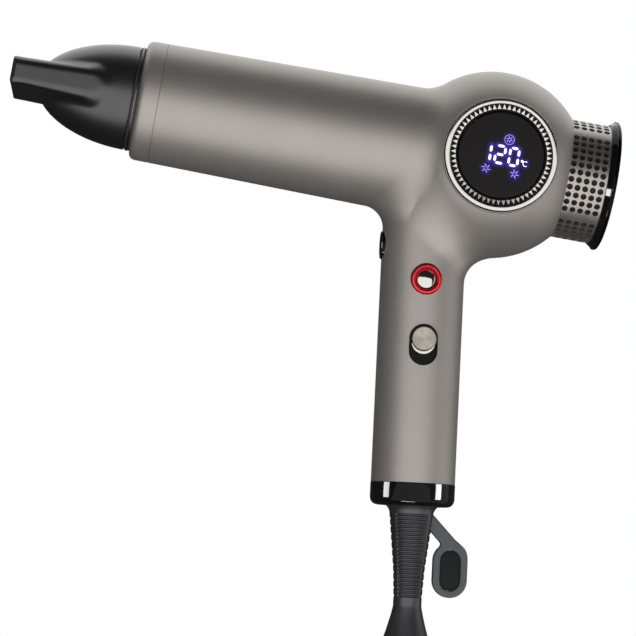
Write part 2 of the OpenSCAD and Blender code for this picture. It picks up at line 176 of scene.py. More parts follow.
def bevel(bm, edges, size, segments, clamp=False):
    """Rounds those edges."""
    bmesh.ops.bevel(bm, geom=edges, offset=size, offset_type="OFFSET", segments=segments,
                    profile=0.5, affect="EDGES", material=-1, clamp_overlap=clamp)


def turned(outline, steps=96):
    """A shape turned about z. Each point is (radius, z) or (radius, z, rounding radius)."""
    bm = bmesh.new()
    points = [bm.verts.new((p[0], 0, p[1])) for p in outline]
    on_axis = outline[0][0] == 0 and outline[-1][0] == 0
    for a, b in zip(points, points[1:] if on_axis else points[1:] + points[:1]):
        bm.edges.new((a, b))
    bmesh.ops.spin(bm, geom=bm.verts[:] + bm.edges[:], axis=(0, 0, 1), cent=(0, 0, 0),
                   dvec=(0, 0, 0), angle=2 * math.pi, steps=steps, use_merge=True)
    bmesh.ops.remove_doubles(bm, verts=bm.verts, dist=1e-4)
    for p in outline:
        if len(p) == 3:
            bevel_circle(bm, p[0], p[1], p[2])
    return outwards(bm)


def bevel_circle(bm, radius, z, size):
    """Rounds the circular edge at that radius and height."""
    def is_there(vert):
        return abs(math.hypot(vert.co.x, vert.co.y) - radius) < 1e-3 and abs(vert.co.z - z) < 1e-3

    ring = [e for e in bm.edges if all(is_there(vert) for vert in e.verts)]
    bevel(bm, ring, size, 4, clamp=True)


def arc(centre_r, centre_z, radius, start, end, count):
    """Points (radius, z) along a round stretch, the angles in degrees from the outward way."""
    turns = [math.radians(start + (end - start) * i / count) for i in range(count + 1)]
    return [(centre_r + radius * math.cos(a), centre_z + radius * math.sin(a)) for a in turns]


def prism(span, width, low, high, segments=24):
    """A solid slot shape with round ends, its length along y, from z low to z high."""
    bm = bmesh.new()
    bmesh.ops.create_circle(bm, cap_ends=True, radius=width / 2, segments=2 * segments)
    straight = (span - width) / 2
    for vert in bm.verts:
        vert.co.y += straight if vert.co.y > 1e-6 else -straight if vert.co.y < -1e-6 else 0
    raised = verts_of(bmesh.ops.extrude_face_region(bm, geom=bm.faces[:])["geom"])
    bmesh.ops.translate(bm, verts=bm.verts, vec=(0, 0, low))
    bmesh.ops.translate(bm, verts=raised, vec=(0, 0, high - low))
    return outwards(bm)


def as_object(bm, name="rough"):
    """A new object of the scene with that mesh. The bmesh is freed."""
    mesh = bpy.data.meshes.new(name)
    bm.to_mesh(mesh)
    bm.free()
    made = bpy.data.objects.new(name, mesh)
    bpy.context.scene.collection.objects.link(made)
    return made


def with_modifiers(thing):
    """The object's mesh with its modifiers applied, as a bmesh. The object is removed."""
    graph = bpy.context.evaluated_depsgraph_get()
    bm = bmesh.new()
    bm.from_object(thing, graph)
    bpy.data.objects.remove(thing)
    return bm


def blended(rough, field, voxel, passes=3):
    """Gives a rough closed mesh an even skin and draws it onto the surface where field is zero."""
    thing = as_object(rough)
    skin = thing.modifiers.new("skin", "REMESH")
    skin.mode = "VOXEL"
    skin.voxel_size = voxel
    bm = with_modifiers(thing)
    for turn in range(passes):
        if turn:
            bmesh.ops.smooth_vert(bm, verts=bm.verts, factor=0.5, use_axis_x=True,
                                  use_axis_y=True, use_axis_z=True)
        points = drawn_to(np.array([v.co for v in bm.verts]), field, voxel)
        for vert, point in zip(bm.verts, points):
            vert.co = point
    return outwards(bm)


def drawn_to(points, field, longest, steps=5, probe=0.01):
    """Moves points along the field's slope until it is zero, each time by longest at most."""
    for _ in range(steps):
        value = field(points)
        slope = np.stack([(field(points + d) - field(points - d)) / (2 * probe)
                          for d in np.eye(3) * probe], axis=1)
        size = np.maximum((slope ** 2).sum(1), 0.04)
        move = slope * (value / size)[:, None]
        far = np.maximum(np.linalg.norm(move, axis=1), 1e-9)
        points = points - move * np.minimum(1, longest / far)[:, None]
    return points


def filleted(a, b, radius):
    """Two distance fields joined with a concave round of that radius."""
    inner = np.maximum(radius, np.minimum(a, b))
    return inner - np.hypot(np.maximum(radius - a, 0), np.maximum(radius - b, 0))


def cut(bm, origin, away):
    """Takes off what lies on the far side of a plane and leaves the edge open."""
    bmesh.ops.bisect_plane(bm, geom=bm.verts[:] + bm.edges[:] + bm.faces[:], plane_co=origin,
                           plane_no=away, dist=1e-5, clear_outer=True)


def carved(bm, cutters):
    """The closed mesh with the closed cutters taken out of it."""
    thing = as_object(bm)
    tools = [as_object(cutter, "cutter") for cutter in cutters]
    for tool in tools:
        hole = thing.modifiers.new("hole", "BOOLEAN")
        hole.operation = "DIFFERENCE"
        hole.solver = "EXACT"
        hole.object = tool
    result = with_modifiers(thing)
    for tool in tools:
        bpy.data.objects.remove(tool)
    return result


def round_cutter(radius, low, high, where):
    """A cylinder to cut with, moved from its own place to the one that where leads to."""
    return moved(turned([(0, low), (radius, low), (radius, high), (0, high)], steps=128), where)


def joined(*meshes):
    """Several bmeshes as one."""
    whole = bmesh.new()
    for bm in meshes:
        spare = bpy.data.meshes.new("spare")
        bm.to_mesh(spare)
        bm.free()
        whole.from_mesh(spare)
        bpy.data.meshes.remove(spare)
    return whole


def piece(name, bm, where, body, finish, stands_for=(), crease=32):
    """Finishes a mesh: into the frame, smooth but for its creases, riding on its body."""
    moved(bm, where)
    limit = math.radians(crease)
    for face in bm.faces:
        face.smooth = True
    for edge in bm.edges:
        edge.smooth = len(edge.link_faces) == 2 and edge.calc_face_angle(0) < limit
    made = as_object(bm, name)
    made.data.materials.append(finish_of(finish))
    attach(made, body)
    if stands_for:
        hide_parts(*stands_for)
    return made


# ---------------------------------------------------------------- materials

def wire(tree, node, settings=(), values=(), links=()):
    """Gives a node its settings, its sockets' values and the outputs linked to it."""
    for key, value in dict(settings).items():
        setattr(node, key, value)
    for key, value in dict(values).items():
        node.inputs[key].default_value = value
    for key, source in dict(links).items():
        tree.links.new(source, node.inputs[key])
    return node


def add(tree, kind, settings=(), values=(), links=()):
    """Adds a node of that kind."""
    return wire(tree, tree.nodes.new(kind), settings, values, links)


def blank(name):
    """A new material, its tree, its surface shader and its object coordinates."""
    material = bpy.data.materials.new(name)
    material.use_nodes = True
    tree = material.node_tree
    shader = tree.nodes["Principled BSDF"]
    where = add(tree, "ShaderNodeTexCoord").outputs["Object"]
    return material, tree, shader, where


def per_mm(size):
    """The scale of a pattern whose features are size mm across."""
    return 1 / (size * MM)


WAVE_BANDS = 6.3  # light and dark bands in each unit of a wave texture of scale 1


def shaded(colour, factor):
    """A linear colour made lighter or darker."""
    return [min(1, c * factor) for c in colour[:3]] + [1]


def mottled(tree, where, hex_colour, spread, size):
    """Colour that wanders a little to each side of the given one, in patches of size mm."""
    patches = add(tree, "ShaderNodeTexNoise", values={"Scale": per_mm(size), "Detail": 3},
                  links={"Vector": where})
    ramp = add(tree, "ShaderNodeValToRGB", links={"Fac": patches.outputs["Fac"]})
    low, high = ramp.color_ramp.elements
    low.position, high.position = 0.3, 0.7
    low.color = shaded(linear(hex_colour), 1 - spread)
    high.color = shaded(linear(hex_colour), 1 + spread)
    return ramp.outputs["Color"]


def varied(tree, where, middle, spread, size):
    """Roughness that wanders round its middle, as handling and polishing leave it."""
    patches = add(tree, "ShaderNodeTexNoise", values={"Scale": per_mm(size), "Detail": 4},
                  links={"Vector": where})
    return add(tree, "ShaderNodeMapRange",
               values={"To Min": middle - spread, "To Max": middle + spread},
               links={"Value": patches.outputs["Fac"]}).outputs["Result"]


def grained(tree, where, size, height):
    """Bump of small grains, size mm across and height mm high."""
    grains = add(tree, "ShaderNodeTexNoise", values={"Scale": per_mm(size), "Detail": 2},
                 links={"Vector": where})
    return add(tree, "ShaderNodeBump", values={"Strength": 1, "Distance": height * MM},
               links={"Height": grains.outputs["Fac"]}).outputs["Normal"]


def solid(name, hex_colour, roughness, metallic=0.0, grain=0.3, height=0.004, spread=0.05,
          patch=6.0, specular=0.5):
    """A moulded, cast or machined surface: mottled colour, wandering gloss and fine grain."""
    material, tree, shader, where = blank(name)
    wire(tree, shader, values={"Metallic": metallic, "Specular IOR Level": specular},
         links={"Base Color": mottled(tree, where, hex_colour, spread, patch),
                "Roughness": varied(tree, where, roughness, roughness * 0.12, patch),
                "Normal": grained(tree, where, grain, height)})
    return material


def metallic_paint(hex_colour):
    """Sprayed taupe metallic on ABS: fine aluminium flakes under a satin clear coat, with the
    faint waviness that spraying leaves. The flakes are drawn at 0.35 mm, so that they show."""
    material, tree, shader, where = blank("satin_metallic_paint_on_abs")
    flakes = add(tree, "ShaderNodeTexVoronoi", values={"Scale": per_mm(0.35)},
                 links={"Vector": where})
    bright = add(tree, "ShaderNodeMapRange", values={"To Min": 0.95, "To Max": 1.05},
                 links={"Value": flakes.outputs["Color"]})
    shown = add(tree, "ShaderNodeVectorMath", settings={"operation": "SCALE"},
                links={0: mottled(tree, where, hex_colour, 0.03, 18),
                       "Scale": bright.outputs["Result"]})
    wire(tree, shader, values={"Metallic": 0.75},
         links={"Base Color": shown.outputs["Vector"],
                "Roughness": varied(tree, where, 0.5, 0.02, 9),
                "Normal": grained(tree, where, 1.4, 0.003)})
    return material


def brushed(name, hex_colour, roughness, line=0.12, way="z"):
    """Metal with fine lines left by a brush or a turning tool, which run round the given axis.
    The lines are drawn at 0.12 mm or more, coarser than real ones, so that they show."""
    material, tree, shader, where = blank(name)
    along = 40  # the lines' scale the other ways, which makes them long
    stretch = [per_mm(line) if axis == way else along for axis in "xyz"]
    lines_at = add(tree, "ShaderNodeMapping", values={"Scale": stretch}, links={"Vector": where})
    lines = add(tree, "ShaderNodeTexNoise", values={"Scale": 1.0, "Detail": 3},
                links={"Vector": lines_at.outputs["Vector"]})
    bump = add(tree, "ShaderNodeBump", values={"Strength": 1, "Distance": 0.002 * MM},
               links={"Height": lines.outputs["Fac"]})
    wire(tree, shader, values={"Metallic": 1.0, "Anisotropic": 0.5},
         links={"Base Color": mottled(tree, where, hex_colour, 0.05, 4),
                "Roughness": varied(tree, where, roughness, roughness * 0.2, 3),
                "Normal": bump.outputs["Normal"]})
    return material


def spun_aluminium(hex_colour):
    """Aluminium faced on a lathe: the cutter's circles fan the light out from the centre. Its
    UV map holds the turn in U and the radius in V."""
    material, tree, shader, where = blank("spun_champagne_aluminium")
    polar = add(tree, "ShaderNodeUVMap", settings={"uv_map": "turning"})
    stretch = add(tree, "ShaderNodeMapping", values={"Scale": (3, 60, 1)},
                  links={"Vector": polar.outputs["UV"]})
    lines = add(tree, "ShaderNodeTexNoise", values={"Scale": 1.0, "Detail": 4},
                links={"Vector": stretch.outputs["Vector"]})
    rough = add(tree, "ShaderNodeMapRange", values={"To Min": 0.26, "To Max": 0.4},
                links={"Value": lines.outputs["Fac"]})
    around = add(tree, "ShaderNodeTangent", settings={"direction_type": "UV_MAP",
                                                      "uv_map": "turning"})
    wire(tree, shader, values={"Metallic": 1.0, "Anisotropic": 0.9},
         links={"Base Color": mottled(tree, where, hex_colour, 0.04, 2),
                "Roughness": rough.outputs["Result"], "Tangent": around.outputs["Tangent"]})
    return material


def lit_window(hex_colour, glow_colour):
    """Smoked acrylic over the display: dark and even, with the violet halo that the lamps
    behind it cast into the sheet. The attribute glow is 1 on a lamp and fades round it."""
    material, tree, shader, where = blank("smoked_acrylic_window")
    glow = add(tree, "ShaderNodeAttribute", settings={"attribute_name": "glow"})
    strength = add(tree, "ShaderNodeMath", settings={"operation": "MULTIPLY"},
                   values={1: 0.55}, links={0: glow.outputs["Fac"]})
    wire(tree, shader,
         values={"Specular IOR Level": 0.1, "Emission Color": linear(glow_colour)},
         links={"Base Color": mottled(tree, where, hex_colour, 0.03, 5),
                "Roughness": varied(tree, where, 0.3, 0.03, 8),
                "Normal": grained(tree, where, 0.5, 0.0006),
                "Emission Strength": strength.outputs["Value"]})
    return material


def lamp_light(name, hex_colour):
    """Violet-white light diodes behind a diffuser: even, with slightly brighter middles."""
    material, tree, shader, where = blank(name)
    wire(tree, shader, values={"Base Color": linear(hex_colour), "Emission Strength": 1.0},
         links={"Emission Color": mottled(tree, where, hex_colour, 0.04, 0.8),
                "Normal": grained(tree, where, 0.3, 0.001)})
    return material


def woven_wire(hex_colour):
    """Plain-woven steel gauze behind the holes, painted dark: its near-black threads and black
    gaps are painted shade, the dark inside the barrel that the holes show. The threads are drawn
    at 0.3 mm.
    """
    material, tree, shader, where = blank("woven_steel_gauze_painted_shade")
    waves = [add(tree, "ShaderNodeTexWave", settings={"bands_direction": way},
                 values={"Scale": per_mm(0.3) / WAVE_BANDS}, links={"Vector": where})
             for way in ("X", "DIAGONAL")]
    weave = add(tree, "ShaderNodeMath", settings={"operation": "MAXIMUM"},
                links={0: waves[0].outputs["Fac"], 1: waves[1].outputs["Fac"]})
    ramp = add(tree, "ShaderNodeValToRGB", links={"Fac": weave.outputs["Value"]})
    gap, thread = ramp.color_ramp.elements
    # Painted shade: black gaps and dark threads.
    gap.color, thread.color = (0.002, 0.002, 0.002, 1), linear(hex_colour)
    gap.position = 0.5
    bump = add(tree, "ShaderNodeBump", values={"Distance": 0.05 * MM},
               links={"Height": weave.outputs["Value"]})
    wire(tree, shader, values={"Roughness": 0.5, "Metallic": 0.5},
         links={"Base Color": ramp.outputs["Color"], "Normal": bump.outputs["Normal"]})
    return material


def mica_board(hex_colour):
    """Pressed mica: pale, with silvery plates 2 mm across that catch the light."""
    material, tree, shader, where = blank("pressed_mica_board")
    plates = add(tree, "ShaderNodeTexVoronoi", values={"Scale": per_mm(2.0)},
                 links={"Vector": where})
    rough = add(tree, "ShaderNodeMapRange", values={"To Min": 0.25, "To Max": 0.6},
                links={"Value": plates.outputs["Color"]})
    bump = add(tree, "ShaderNodeBump", values={"Distance": 0.02 * MM},
               links={"Height": plates.outputs["Distance"]})
    wire(tree, shader, links={"Base Color": mottled(tree, where, hex_colour, 0.12, 3),
                              "Roughness": rough.outputs["Result"],
                              "Normal": bump.outputs["Normal"]})
    return material


def circuit_board(hex_colour):
    """Glass-epoxy board: solder mask over copper tracks 0.8 mm wide, with a glossy skin."""
    material, tree, shader, where = blank("glass_epoxy_circuit_board")
    base = linear(hex_colour)
    tracks = add(tree, "ShaderNodeTexBrick",
                 values={"Scale": per_mm(1.0), "Mortar Size": 0.06, "Brick Width": 3.2,
                         "Row Height": 0.8, "Color1": base, "Color2": shaded(base, 1.25),
                         "Mortar": shaded(base, 0.5)}, links={"Vector": where})
    bump = add(tree, "ShaderNodeBump", values={"Distance": 0.03 * MM},
               links={"Height": tracks.outputs["Fac"]})
    wire(tree, shader, links={"Base Color": tracks.outputs["Color"],
                              "Roughness": varied(tree, where, 0.3, 0.06, 4),
                              "Normal": bump.outputs["Normal"]})
    return material


def copper_windings(hex_colour):
    """Enamelled copper wire 0.5 mm thick, wound in rows 1 mm apart."""
    material, tree, shader, where = blank("enamelled_copper_windings")
    rows = add(tree, "ShaderNodeTexWave", settings={"bands_direction": "X"},
               values={"Scale": per_mm(0.5) / WAVE_BANDS, "Distortion": 0.4},
               links={"Vector": where})
    bump = add(tree, "ShaderNodeBump", values={"Distance": 0.15 * MM},
               links={"Height": rows.outputs["Fac"]})
    wire(tree, shader, values={"Metallic": 0.9},
         links={"Base Color": mottled(tree, where, hex_colour, 0.15, 1.5),
                "Roughness": varied(tree, where, 0.3, 0.05, 2),
                "Normal": bump.outputs["Normal"]})
    return material


MADE = {}


def finish_of(kind):
    """The material of that kind, made once."""
    colours = bpy.context.scene.dryer_colours
    makers = {
        "paint": lambda: metallic_paint(colours.shell),
        "nozzle": lambda: solid("satin_black_glass_filled_nylon", colours.nozzle, 0.36,
                                grain=0.25, height=0.004, spread=0.12, patch=14,
                                specular=0.95),
        "gloss": lambda: solid("piano_black_abs", colours.gloss_black, 0.05, grain=2.0,
                               height=0.0005, patch=12, specular=0.09),
        "dial_black": lambda: solid("black_acetal_band", "#0a0a0b", 0.25, grain=0.4,
                                    height=0.002, specular=0.12),
        "chrome": lambda: solid("polished_chrome_plate", "#b6b4ae", 0.09, metallic=1.0,
                                grain=1.5, height=0.0006, spread=0.02, patch=3),
        "collar": lambda: brushed("turned_stainless_steel", "#62605e", 0.4, way="x"),
        "sleeve": lambda: solid("champagne_anodised_aluminium", colours.sleeve, 0.34,
                                metallic=0.85, grain=0.3, height=0.002, spread=0.04, patch=9),
        # The gauze's near-black colour is painted shade, the dark seen through the sleeve's holes.
        "gauze": lambda: woven_wire("#1c1b1a"),
        "window": lambda: lit_window(colours.window, colours.halo),
        "lamps": lambda: lamp_light("light_diode_figures", colours.lamps),
        "dim_lamps": lambda: lamp_light("light_diode_marks", colours.marks),
        "red": lambda: solid("red_anodised_aluminium", colours.accent, 0.22, metallic=0.9,
                             grain=0.5, height=0.002, spread=0.1, patch=1.5),
        "knob": lambda: spun_aluminium(colours.knob),
        "boot": lambda: solid("black_thermoplastic_rubber", colours.boot, 0.4, grain=0.35,
                              height=0.01, spread=0.1, patch=7, specular=0.85),
        "tab": lambda: solid("grey_thermoplastic_rubber", colours.tab, 0.55, grain=0.35,
                             height=0.01, spread=0.06, patch=7),
        "insert": lambda: solid("black_rubber_pad", "#101113", 0.6, grain=0.3, height=0.01,
                                specular=0.2),
        "moulded_black": lambda: solid("moulded_black_polyamide", "#26262a", 0.5, grain=0.4,
                                       height=0.01, spread=0.1),
        # Real silicone seals inside, and also the collar's dark bands, which are painted shade.
        "seal_and_painted_shade": lambda: solid("silicone_seal_and_painted_shade", "#2c2c2e", 0.65, grain=0.8, height=0.02),
        "mica": lambda: mica_board("#cfc096"),
        "heater": lambda: brushed("drawn_heater_wire", "#b9b4a8", 0.35, line=0.3),
        "brass": lambda: brushed("turned_brass", "#c9a24a", 0.28, way="x"),
        "motor": lambda: brushed("machined_aluminium", "#a6a6ac", 0.3, way="x"),
        "copper": lambda: copper_windings("#a5673a"),
        "steel": lambda: brushed("zinc_plated_steel", "#c8c8cc", 0.3, way="x"),
        "magnet": lambda: solid("nickel_plated_magnet", "#8f8f94", 0.2, metallic=1.0,
                                grain=0.6, height=0.003),
        "fan": lambda: solid("moulded_white_polyamide", "#d9d9dc", 0.4, grain=0.5, height=0.01),
        "board": lambda: circuit_board("#1d5a38"),
        "switch_body": lambda: solid("black_phenolic_switch_body", "#1a1a1c", 0.45, grain=0.5,
                                     height=0.01),
        "potting": lambda: solid("blue_potted_module", "#2a4a7a", 0.35, grain=1.5, height=0.02),
        "wire": lambda: solid("red_silicone_wire", "#a02a2a", 0.5, grain=0.6, height=0.01),
        "terminal": lambda: solid("white_polyamide_terminal", "#d9d4c4", 0.45, grain=0.5,
                                  height=0.01),
    }
    if kind not in MADE:
        MADE[kind] = makers[kind]()
    return MADE[kind]


# ---------------------------------------------------------------- properties

def length(name, description, default_mm, least, most):
    return bpy.props.FloatProperty(name=name, description=description, default=default_mm * MM,
                                   min=least * MM, max=most * MM, unit="LENGTH", precision=5)


class DryerSizes(bpy.types.PropertyGroup):
    """Sizes of the visible pieces."""

    bulb_radius: length("Bulb radius", "Radius of the spherical bulb", 42.4, 41, 44)
    barrel_rear: length("Barrel rear radius", "Barrel radius at the bulb", 28.9, 28, 30)
    barrel_front: length("Barrel front radius", "Barrel radius at its front", 27.2, 26, 28)
    bulb_blend: length("Bulb blend", "Concave round between barrel and bulb", 12, 6, 16)
    wall: length("Wall", "Wall of the housing shells", 2.2, 1.5, 3)
    handle_radius: length("Handle radius", "Radius of the round handle", 19, 17, 20)
    handle_length: length("Handle length", "From the barrel's axis to the joint", 150, 140, 155)
    front_blend: length("Front blend", "Round in front of the handle", 8.5, 4, 12)
    rear_blend: length("Rear blend", "Round behind the handle", 14, 8, 18)
    skin: length("Skin pitch", "Spacing of the points on the blended shells", 1.1, 0.8, 2)
    nozzle_radius: length("Nozzle radius", "Largest radius of the nozzle's dome", 23.5, 22, 24)
    mouth_width: length("Mouth width", "Width of the nozzle's mouth", 54, 46, 54)
    mouth_height: length("Mouth height", "Height of the nozzle's mouth", 12.2, 9, 13)
    hole: length("Hole", "Diameter of the sleeve's holes", 2.75, 2, 2.9)
    hole_pitch: length("Hole pitch", "Distance between the holes", 3.5, 3.2, 3.6)


def shade(name, description, default):
    return bpy.props.StringProperty(name=name, description=description, default=default)


class DryerColours(bpy.types.PropertyGroup):
    """Colours of the finishes, as sRGB hex values."""

    shell: shade("Shell", "Metallic paint of the housing", "#9f9a95")
    nozzle: shade("Nozzle", "Satin black of the nozzle", "#0f0f11")
    gloss_black: shade("Gloss black", "Polished black plastic", "#040404")
    sleeve: shade("Sleeve", "Anodised inlet sleeve", "#9c9791")
    window: shade("Window", "Smoked window of the display", "#1b1919")
    halo: shade("Halo", "Glow round the lit figures", "#4a34c8")
    lamps: shade("Figures", "Lit figures", "#efe9ff")
    marks: shade("Marks", "Dimly lit marks", "#8f80e6")
    accent: shade("Accent", "Anodised ring of the cool-shot button", "#d8303a")
    knob: shade("Knob", "Spun aluminium of the slide switch", "#98948b")
    boot: shade("Boot", "Rubber of the strain relief", "#232327")
    tab: shade("Tab", "Rubber of the hang tab", "#47484c")


def angle(name, description, degrees):
    return bpy.props.FloatProperty(name=name, description=description,
                                   default=math.radians(degrees), unit="ROTATION")


def metres(name, description, default):
    return bpy.props.FloatProperty(name=name, description=description, default=default,
                                   unit="LENGTH")


class DryerStudio(bpy.types.PropertyGroup):
    """Camera and light."""

    azimuth: angle("Azimuth", "Camera's way round", -3.39)
    elevation: angle("Elevation", "Camera's height", -4.96)
    roll: angle("Roll", "Camera's turn about its own axis", 9.99)
    distance: metres("Distance", "From camera to aim point", 1.31)
    lens: bpy.props.FloatProperty(name="Lens", description="Focal length in mm", default=164.15)
    aim_back: metres("Aim back", "Aim point behind the bulb's centre", -0.0655)
    aim_up: metres("Aim up", "Aim point above the bulb's centre", -0.0829)
    light: bpy.props.FloatProperty(name="Light", description="Strength of all lamps", default=1.0)


# ---------------------------------------------------------------- housing

def barrel_field(sizes, points):
    """Distance to the outside of barrel and bulb, in the barrel's place."""
    x, y, z = points.T
    across = np.hypot(x, y)
    bulb = np.sqrt(x * x + y * y + z * z) - in_mm(sizes.bulb_radius)
    rear, front = in_mm(sizes.barrel_rear), in_mm(sizes.barrel_front)
    rear_z = -35
    taper = (rear - front) / (rear_z - HOUSING_FRONT)
    tube = np.maximum(across - (rear + (np.minimum(z, rear_z) - rear_z) * taper), z)
    # A round of radius r between faces that turn by an angle a starts r (1 - cos a) off them.
    turn = 1 - sizes.barrel_rear / sizes.bulb_radius
    return filleted(tube, bulb, in_mm(sizes.bulb_blend) * turn)


def housing_field(sizes):
    """Distance to the outside of the whole housing, in the barrel's place."""
    to_handle = on_handle().inverted() @ on_barrel()
    turn, shift = np.array(to_handle.to_3x3()), np.array(to_handle.translation)
    radius = in_mm(sizes.handle_radius)
    front, rear = in_mm(sizes.front_blend), in_mm(sizes.rear_blend)

    def field(points):
        local = points @ turn.T + shift
        handle = np.maximum(np.hypot(local[:, 0], local[:, 1]) - radius, -local[:, 2])
        back = np.clip(0.5 - local[:, 0] / (2 * radius), 0, 1)
        return filleted(barrel_field(sizes, points), handle, front + (rear - front) * back)

    return field


def rough_housing(sizes):
    """Barrel, bulb and handle as overlapping closed shapes, in the barrel's place."""
    bulb = in_mm(sizes.bulb_radius)
    barrel = turned([(0, HOUSING_FRONT - 5), (in_mm(sizes.barrel_front), HOUSING_FRONT - 5),
                     (in_mm(sizes.barrel_rear), 0), (0, 0)])
    ball = turned([(0, -bulb)] + arc(0, 0, bulb, -86, 86, 44) + [(0, bulb)])
    radius, drop = in_mm(sizes.handle_radius), in_mm(sizes.handle_length)
    handle = turned([(0, 10), (radius, 10), (radius, drop + 6), (0, drop + 6)])
    return joined(barrel, ball, moved(handle, on_barrel().inverted() @ on_handle()))


INLET_HOLE = 27.35  # radius of the bulb's rear opening


def housing_skin(sizes):
    """The outside of the housing as one open skin, trimmed at its three ends."""
    bm = blended(rough_housing(sizes), housing_field(sizes), in_mm(sizes.skin))
    to_barrel = on_barrel().inverted() @ on_handle()
    drop = in_mm(sizes.handle_length)
    cut(bm, (0, 0, HOUSING_FRONT), (0, 0, -1))
    cut(bm, (0, 0, math.sqrt(in_mm(sizes.bulb_radius) ** 2 - INLET_HOLE ** 2)), (0, 0, 1))
    cut(bm, to_barrel @ Vector((0, 0, drop)), to_barrel.to_3x3() @ Vector((0, 0, 1)))
    return bm


def control_cutters(side):
    """What is cut through one half of the housing, in the barrel's place."""
    home = on_barrel().inverted()
    cutters = [round_cutter(6.5, 12, 24, home @ on_front(SPEED_DROP))]
    if side < 0:
        cutters.append(round_cutter(25.6, 24, 44, home @ on_display()))
        cutters.append(round_cutter(7.1, 12, 24, home @ on_face(COOL_DROP)))
        cutters.append(moved(prism(18.6, 12.9, 12, 24), home @ on_face(SLOT_DROP)))
    return cutters


class DRYER_OT_housing(bpy.types.Operator):
    """Build the two painted shells and the front ring"""

    bl_idname = "dryer.housing"
    bl_label = "Housing"

    def execute(self, context):
        sizes = context.scene.dryer_sizes
        skin = bpy.data.meshes.new("skin")
        housing_skin(sizes).to_mesh(skin)
        for name, side in (("left", -1), ("right", 1)):
            bm = bmesh.new()
            bm.from_mesh(skin)
            cut(bm, (0, 0, 0), (-side, 0, 0))
            bmesh.ops.solidify(bm, geom=bm.faces[:], thickness=in_mm(sizes.wall))
            outwards(bm)
            bm = carved(bm, control_cutters(side))
            piece("housing_shell_" + name, bm, on_barrel(), "dryer",
                  "paint", ["housing_" + name], crease=40)
        bpy.data.meshes.remove(skin)
        radius = in_mm(sizes.barrel_front)
        gap = 0.12
        ring = turned([(radius, HOUSING_FRONT - gap, 0.15), (radius - 0.1, RING_FRONT, 3.0),
                       (22.9, RING_FRONT, 0.3), (22.9, RING_FRONT + 4.35),
                       (18.8, RING_FRONT + 4.35), (18.8, RING_FRONT + 6.7),
                       (22.9, RING_FRONT + 6.7), (22.9, -152), (24.1, -152), (24.1, -143.6),
                       (24.9, -143.6), (24.9, HOUSING_FRONT - gap)], steps=128)
        piece("front_ring_painted", ring, on_barrel(), "dryer",
              "paint", ["front_ring"])
        return {"FINISHED"}


# ---------------------------------------------------------------- nozzle

def rounded_meet(a, b, radius):
    """The inside of both distance fields, its edge rounded by that radius."""
    a, b = a + radius, b + radius
    return np.minimum(np.maximum(a, b), 0) + np.hypot(np.maximum(a, 0), np.maximum(b, 0)) - radius


TONGUE_BACK = 18.5  # from the nozzle's base to the centre of the tongue's half round
TONGUE_RADIUS = 8.0
TONGUE_NARROWING = 3.1  # how much nearer the middle the duct's side lies there than at the mouth
DOME_LENGTH = 43.5
MOUTH_CORNER, TONGUE_CORNER, TOP_CORNER = 1.2, 4.0, 4.6  # radii of the duct's long edges
NOZZLE_WALL = 1.7
SOCKET_RADIUS = 20.25


def nozzle_field(sizes, inset, tip, base):
    """Distance to the nozzle's dome and flat duct, drawn in by inset, between tip and base.

    The duct is drawn from the side: it widens rearwards and ends in a half round, which stands
    out of the dome on both sides as a tongue."""
    dome_r = in_mm(sizes.nozzle_radius) - inset
    dome_len = DOME_LENGTH - inset
    half_w = in_mm(sizes.mouth_width) / 2 - inset
    half_h = in_mm(sizes.mouth_height) / 2 - inset

    def field(points):
        x, y, z = points[:, 0], points[:, 1], points[:, 2] - NOZZLE_BASE
        across = np.hypot(x, y)
        run = np.minimum(z, 0)
        size = np.sqrt((run / dome_len) ** 2 + (across / dome_r) ** 2) + 1e-9
        slope = np.hypot(run / dome_len ** 2, across / dome_r ** 2) / size + 1e-9
        dome = (size - 1) / slope
        back = np.clip((z - tip) / (-TONGUE_BACK - tip), 0, 1)
        high = half_h + (TONGUE_RADIUS - inset - half_h) * back ** 1.3
        past = np.maximum(z + TONGUE_BACK, 0)
        above = np.hypot(y, past) - high
        beside = np.abs(x) - (half_w - TONGUE_NARROWING * back)
        low_corner = MOUTH_CORNER + (TONGUE_CORNER - MOUTH_CORNER) * back
        upper = np.clip(0.5 + 0.6 * y / high, 0, 1)
        corner = low_corner + (TOP_CORNER - low_corner) * upper
        corner *= (half_h - 0.2) / 5.4
        duct = rounded_meet(above, beside, np.minimum(corner, half_h * 0.9))
        whole = filleted(dome, duct, 3.0)
        return rounded_meet(whole, np.maximum(tip - z, z - base), 0.6)

    return field


def rough_nozzle(sizes, inset, tip):
    """A dome and a box that overlap, in the barrel's place."""
    dome_r = in_mm(sizes.nozzle_radius) - inset
    dome_len = DOME_LENGTH - inset
    dome = turned([(0, 0)] + [(dome_r * math.cos(a), -dome_len * math.sin(a)) for a in
                              [math.radians(5 * i) for i in range(17)]] + [(0, -dome_len)])
    box = bmesh.new()
    bmesh.ops.create_cube(box, size=1)
    box_length = -TONGUE_BACK + 4 - tip
    bmesh.ops.scale(box, vec=(in_mm(sizes.mouth_width) - 2 * inset - 3,
                              in_mm(sizes.mouth_height) - 2 * inset, box_length),
                    verts=box.verts)
    bmesh.ops.translate(box, vec=(0, 0, tip + box_length / 2), verts=box.verts)
    return moved(joined(dome, box), Matrix.Translation((0, 0, NOZZLE_BASE)))


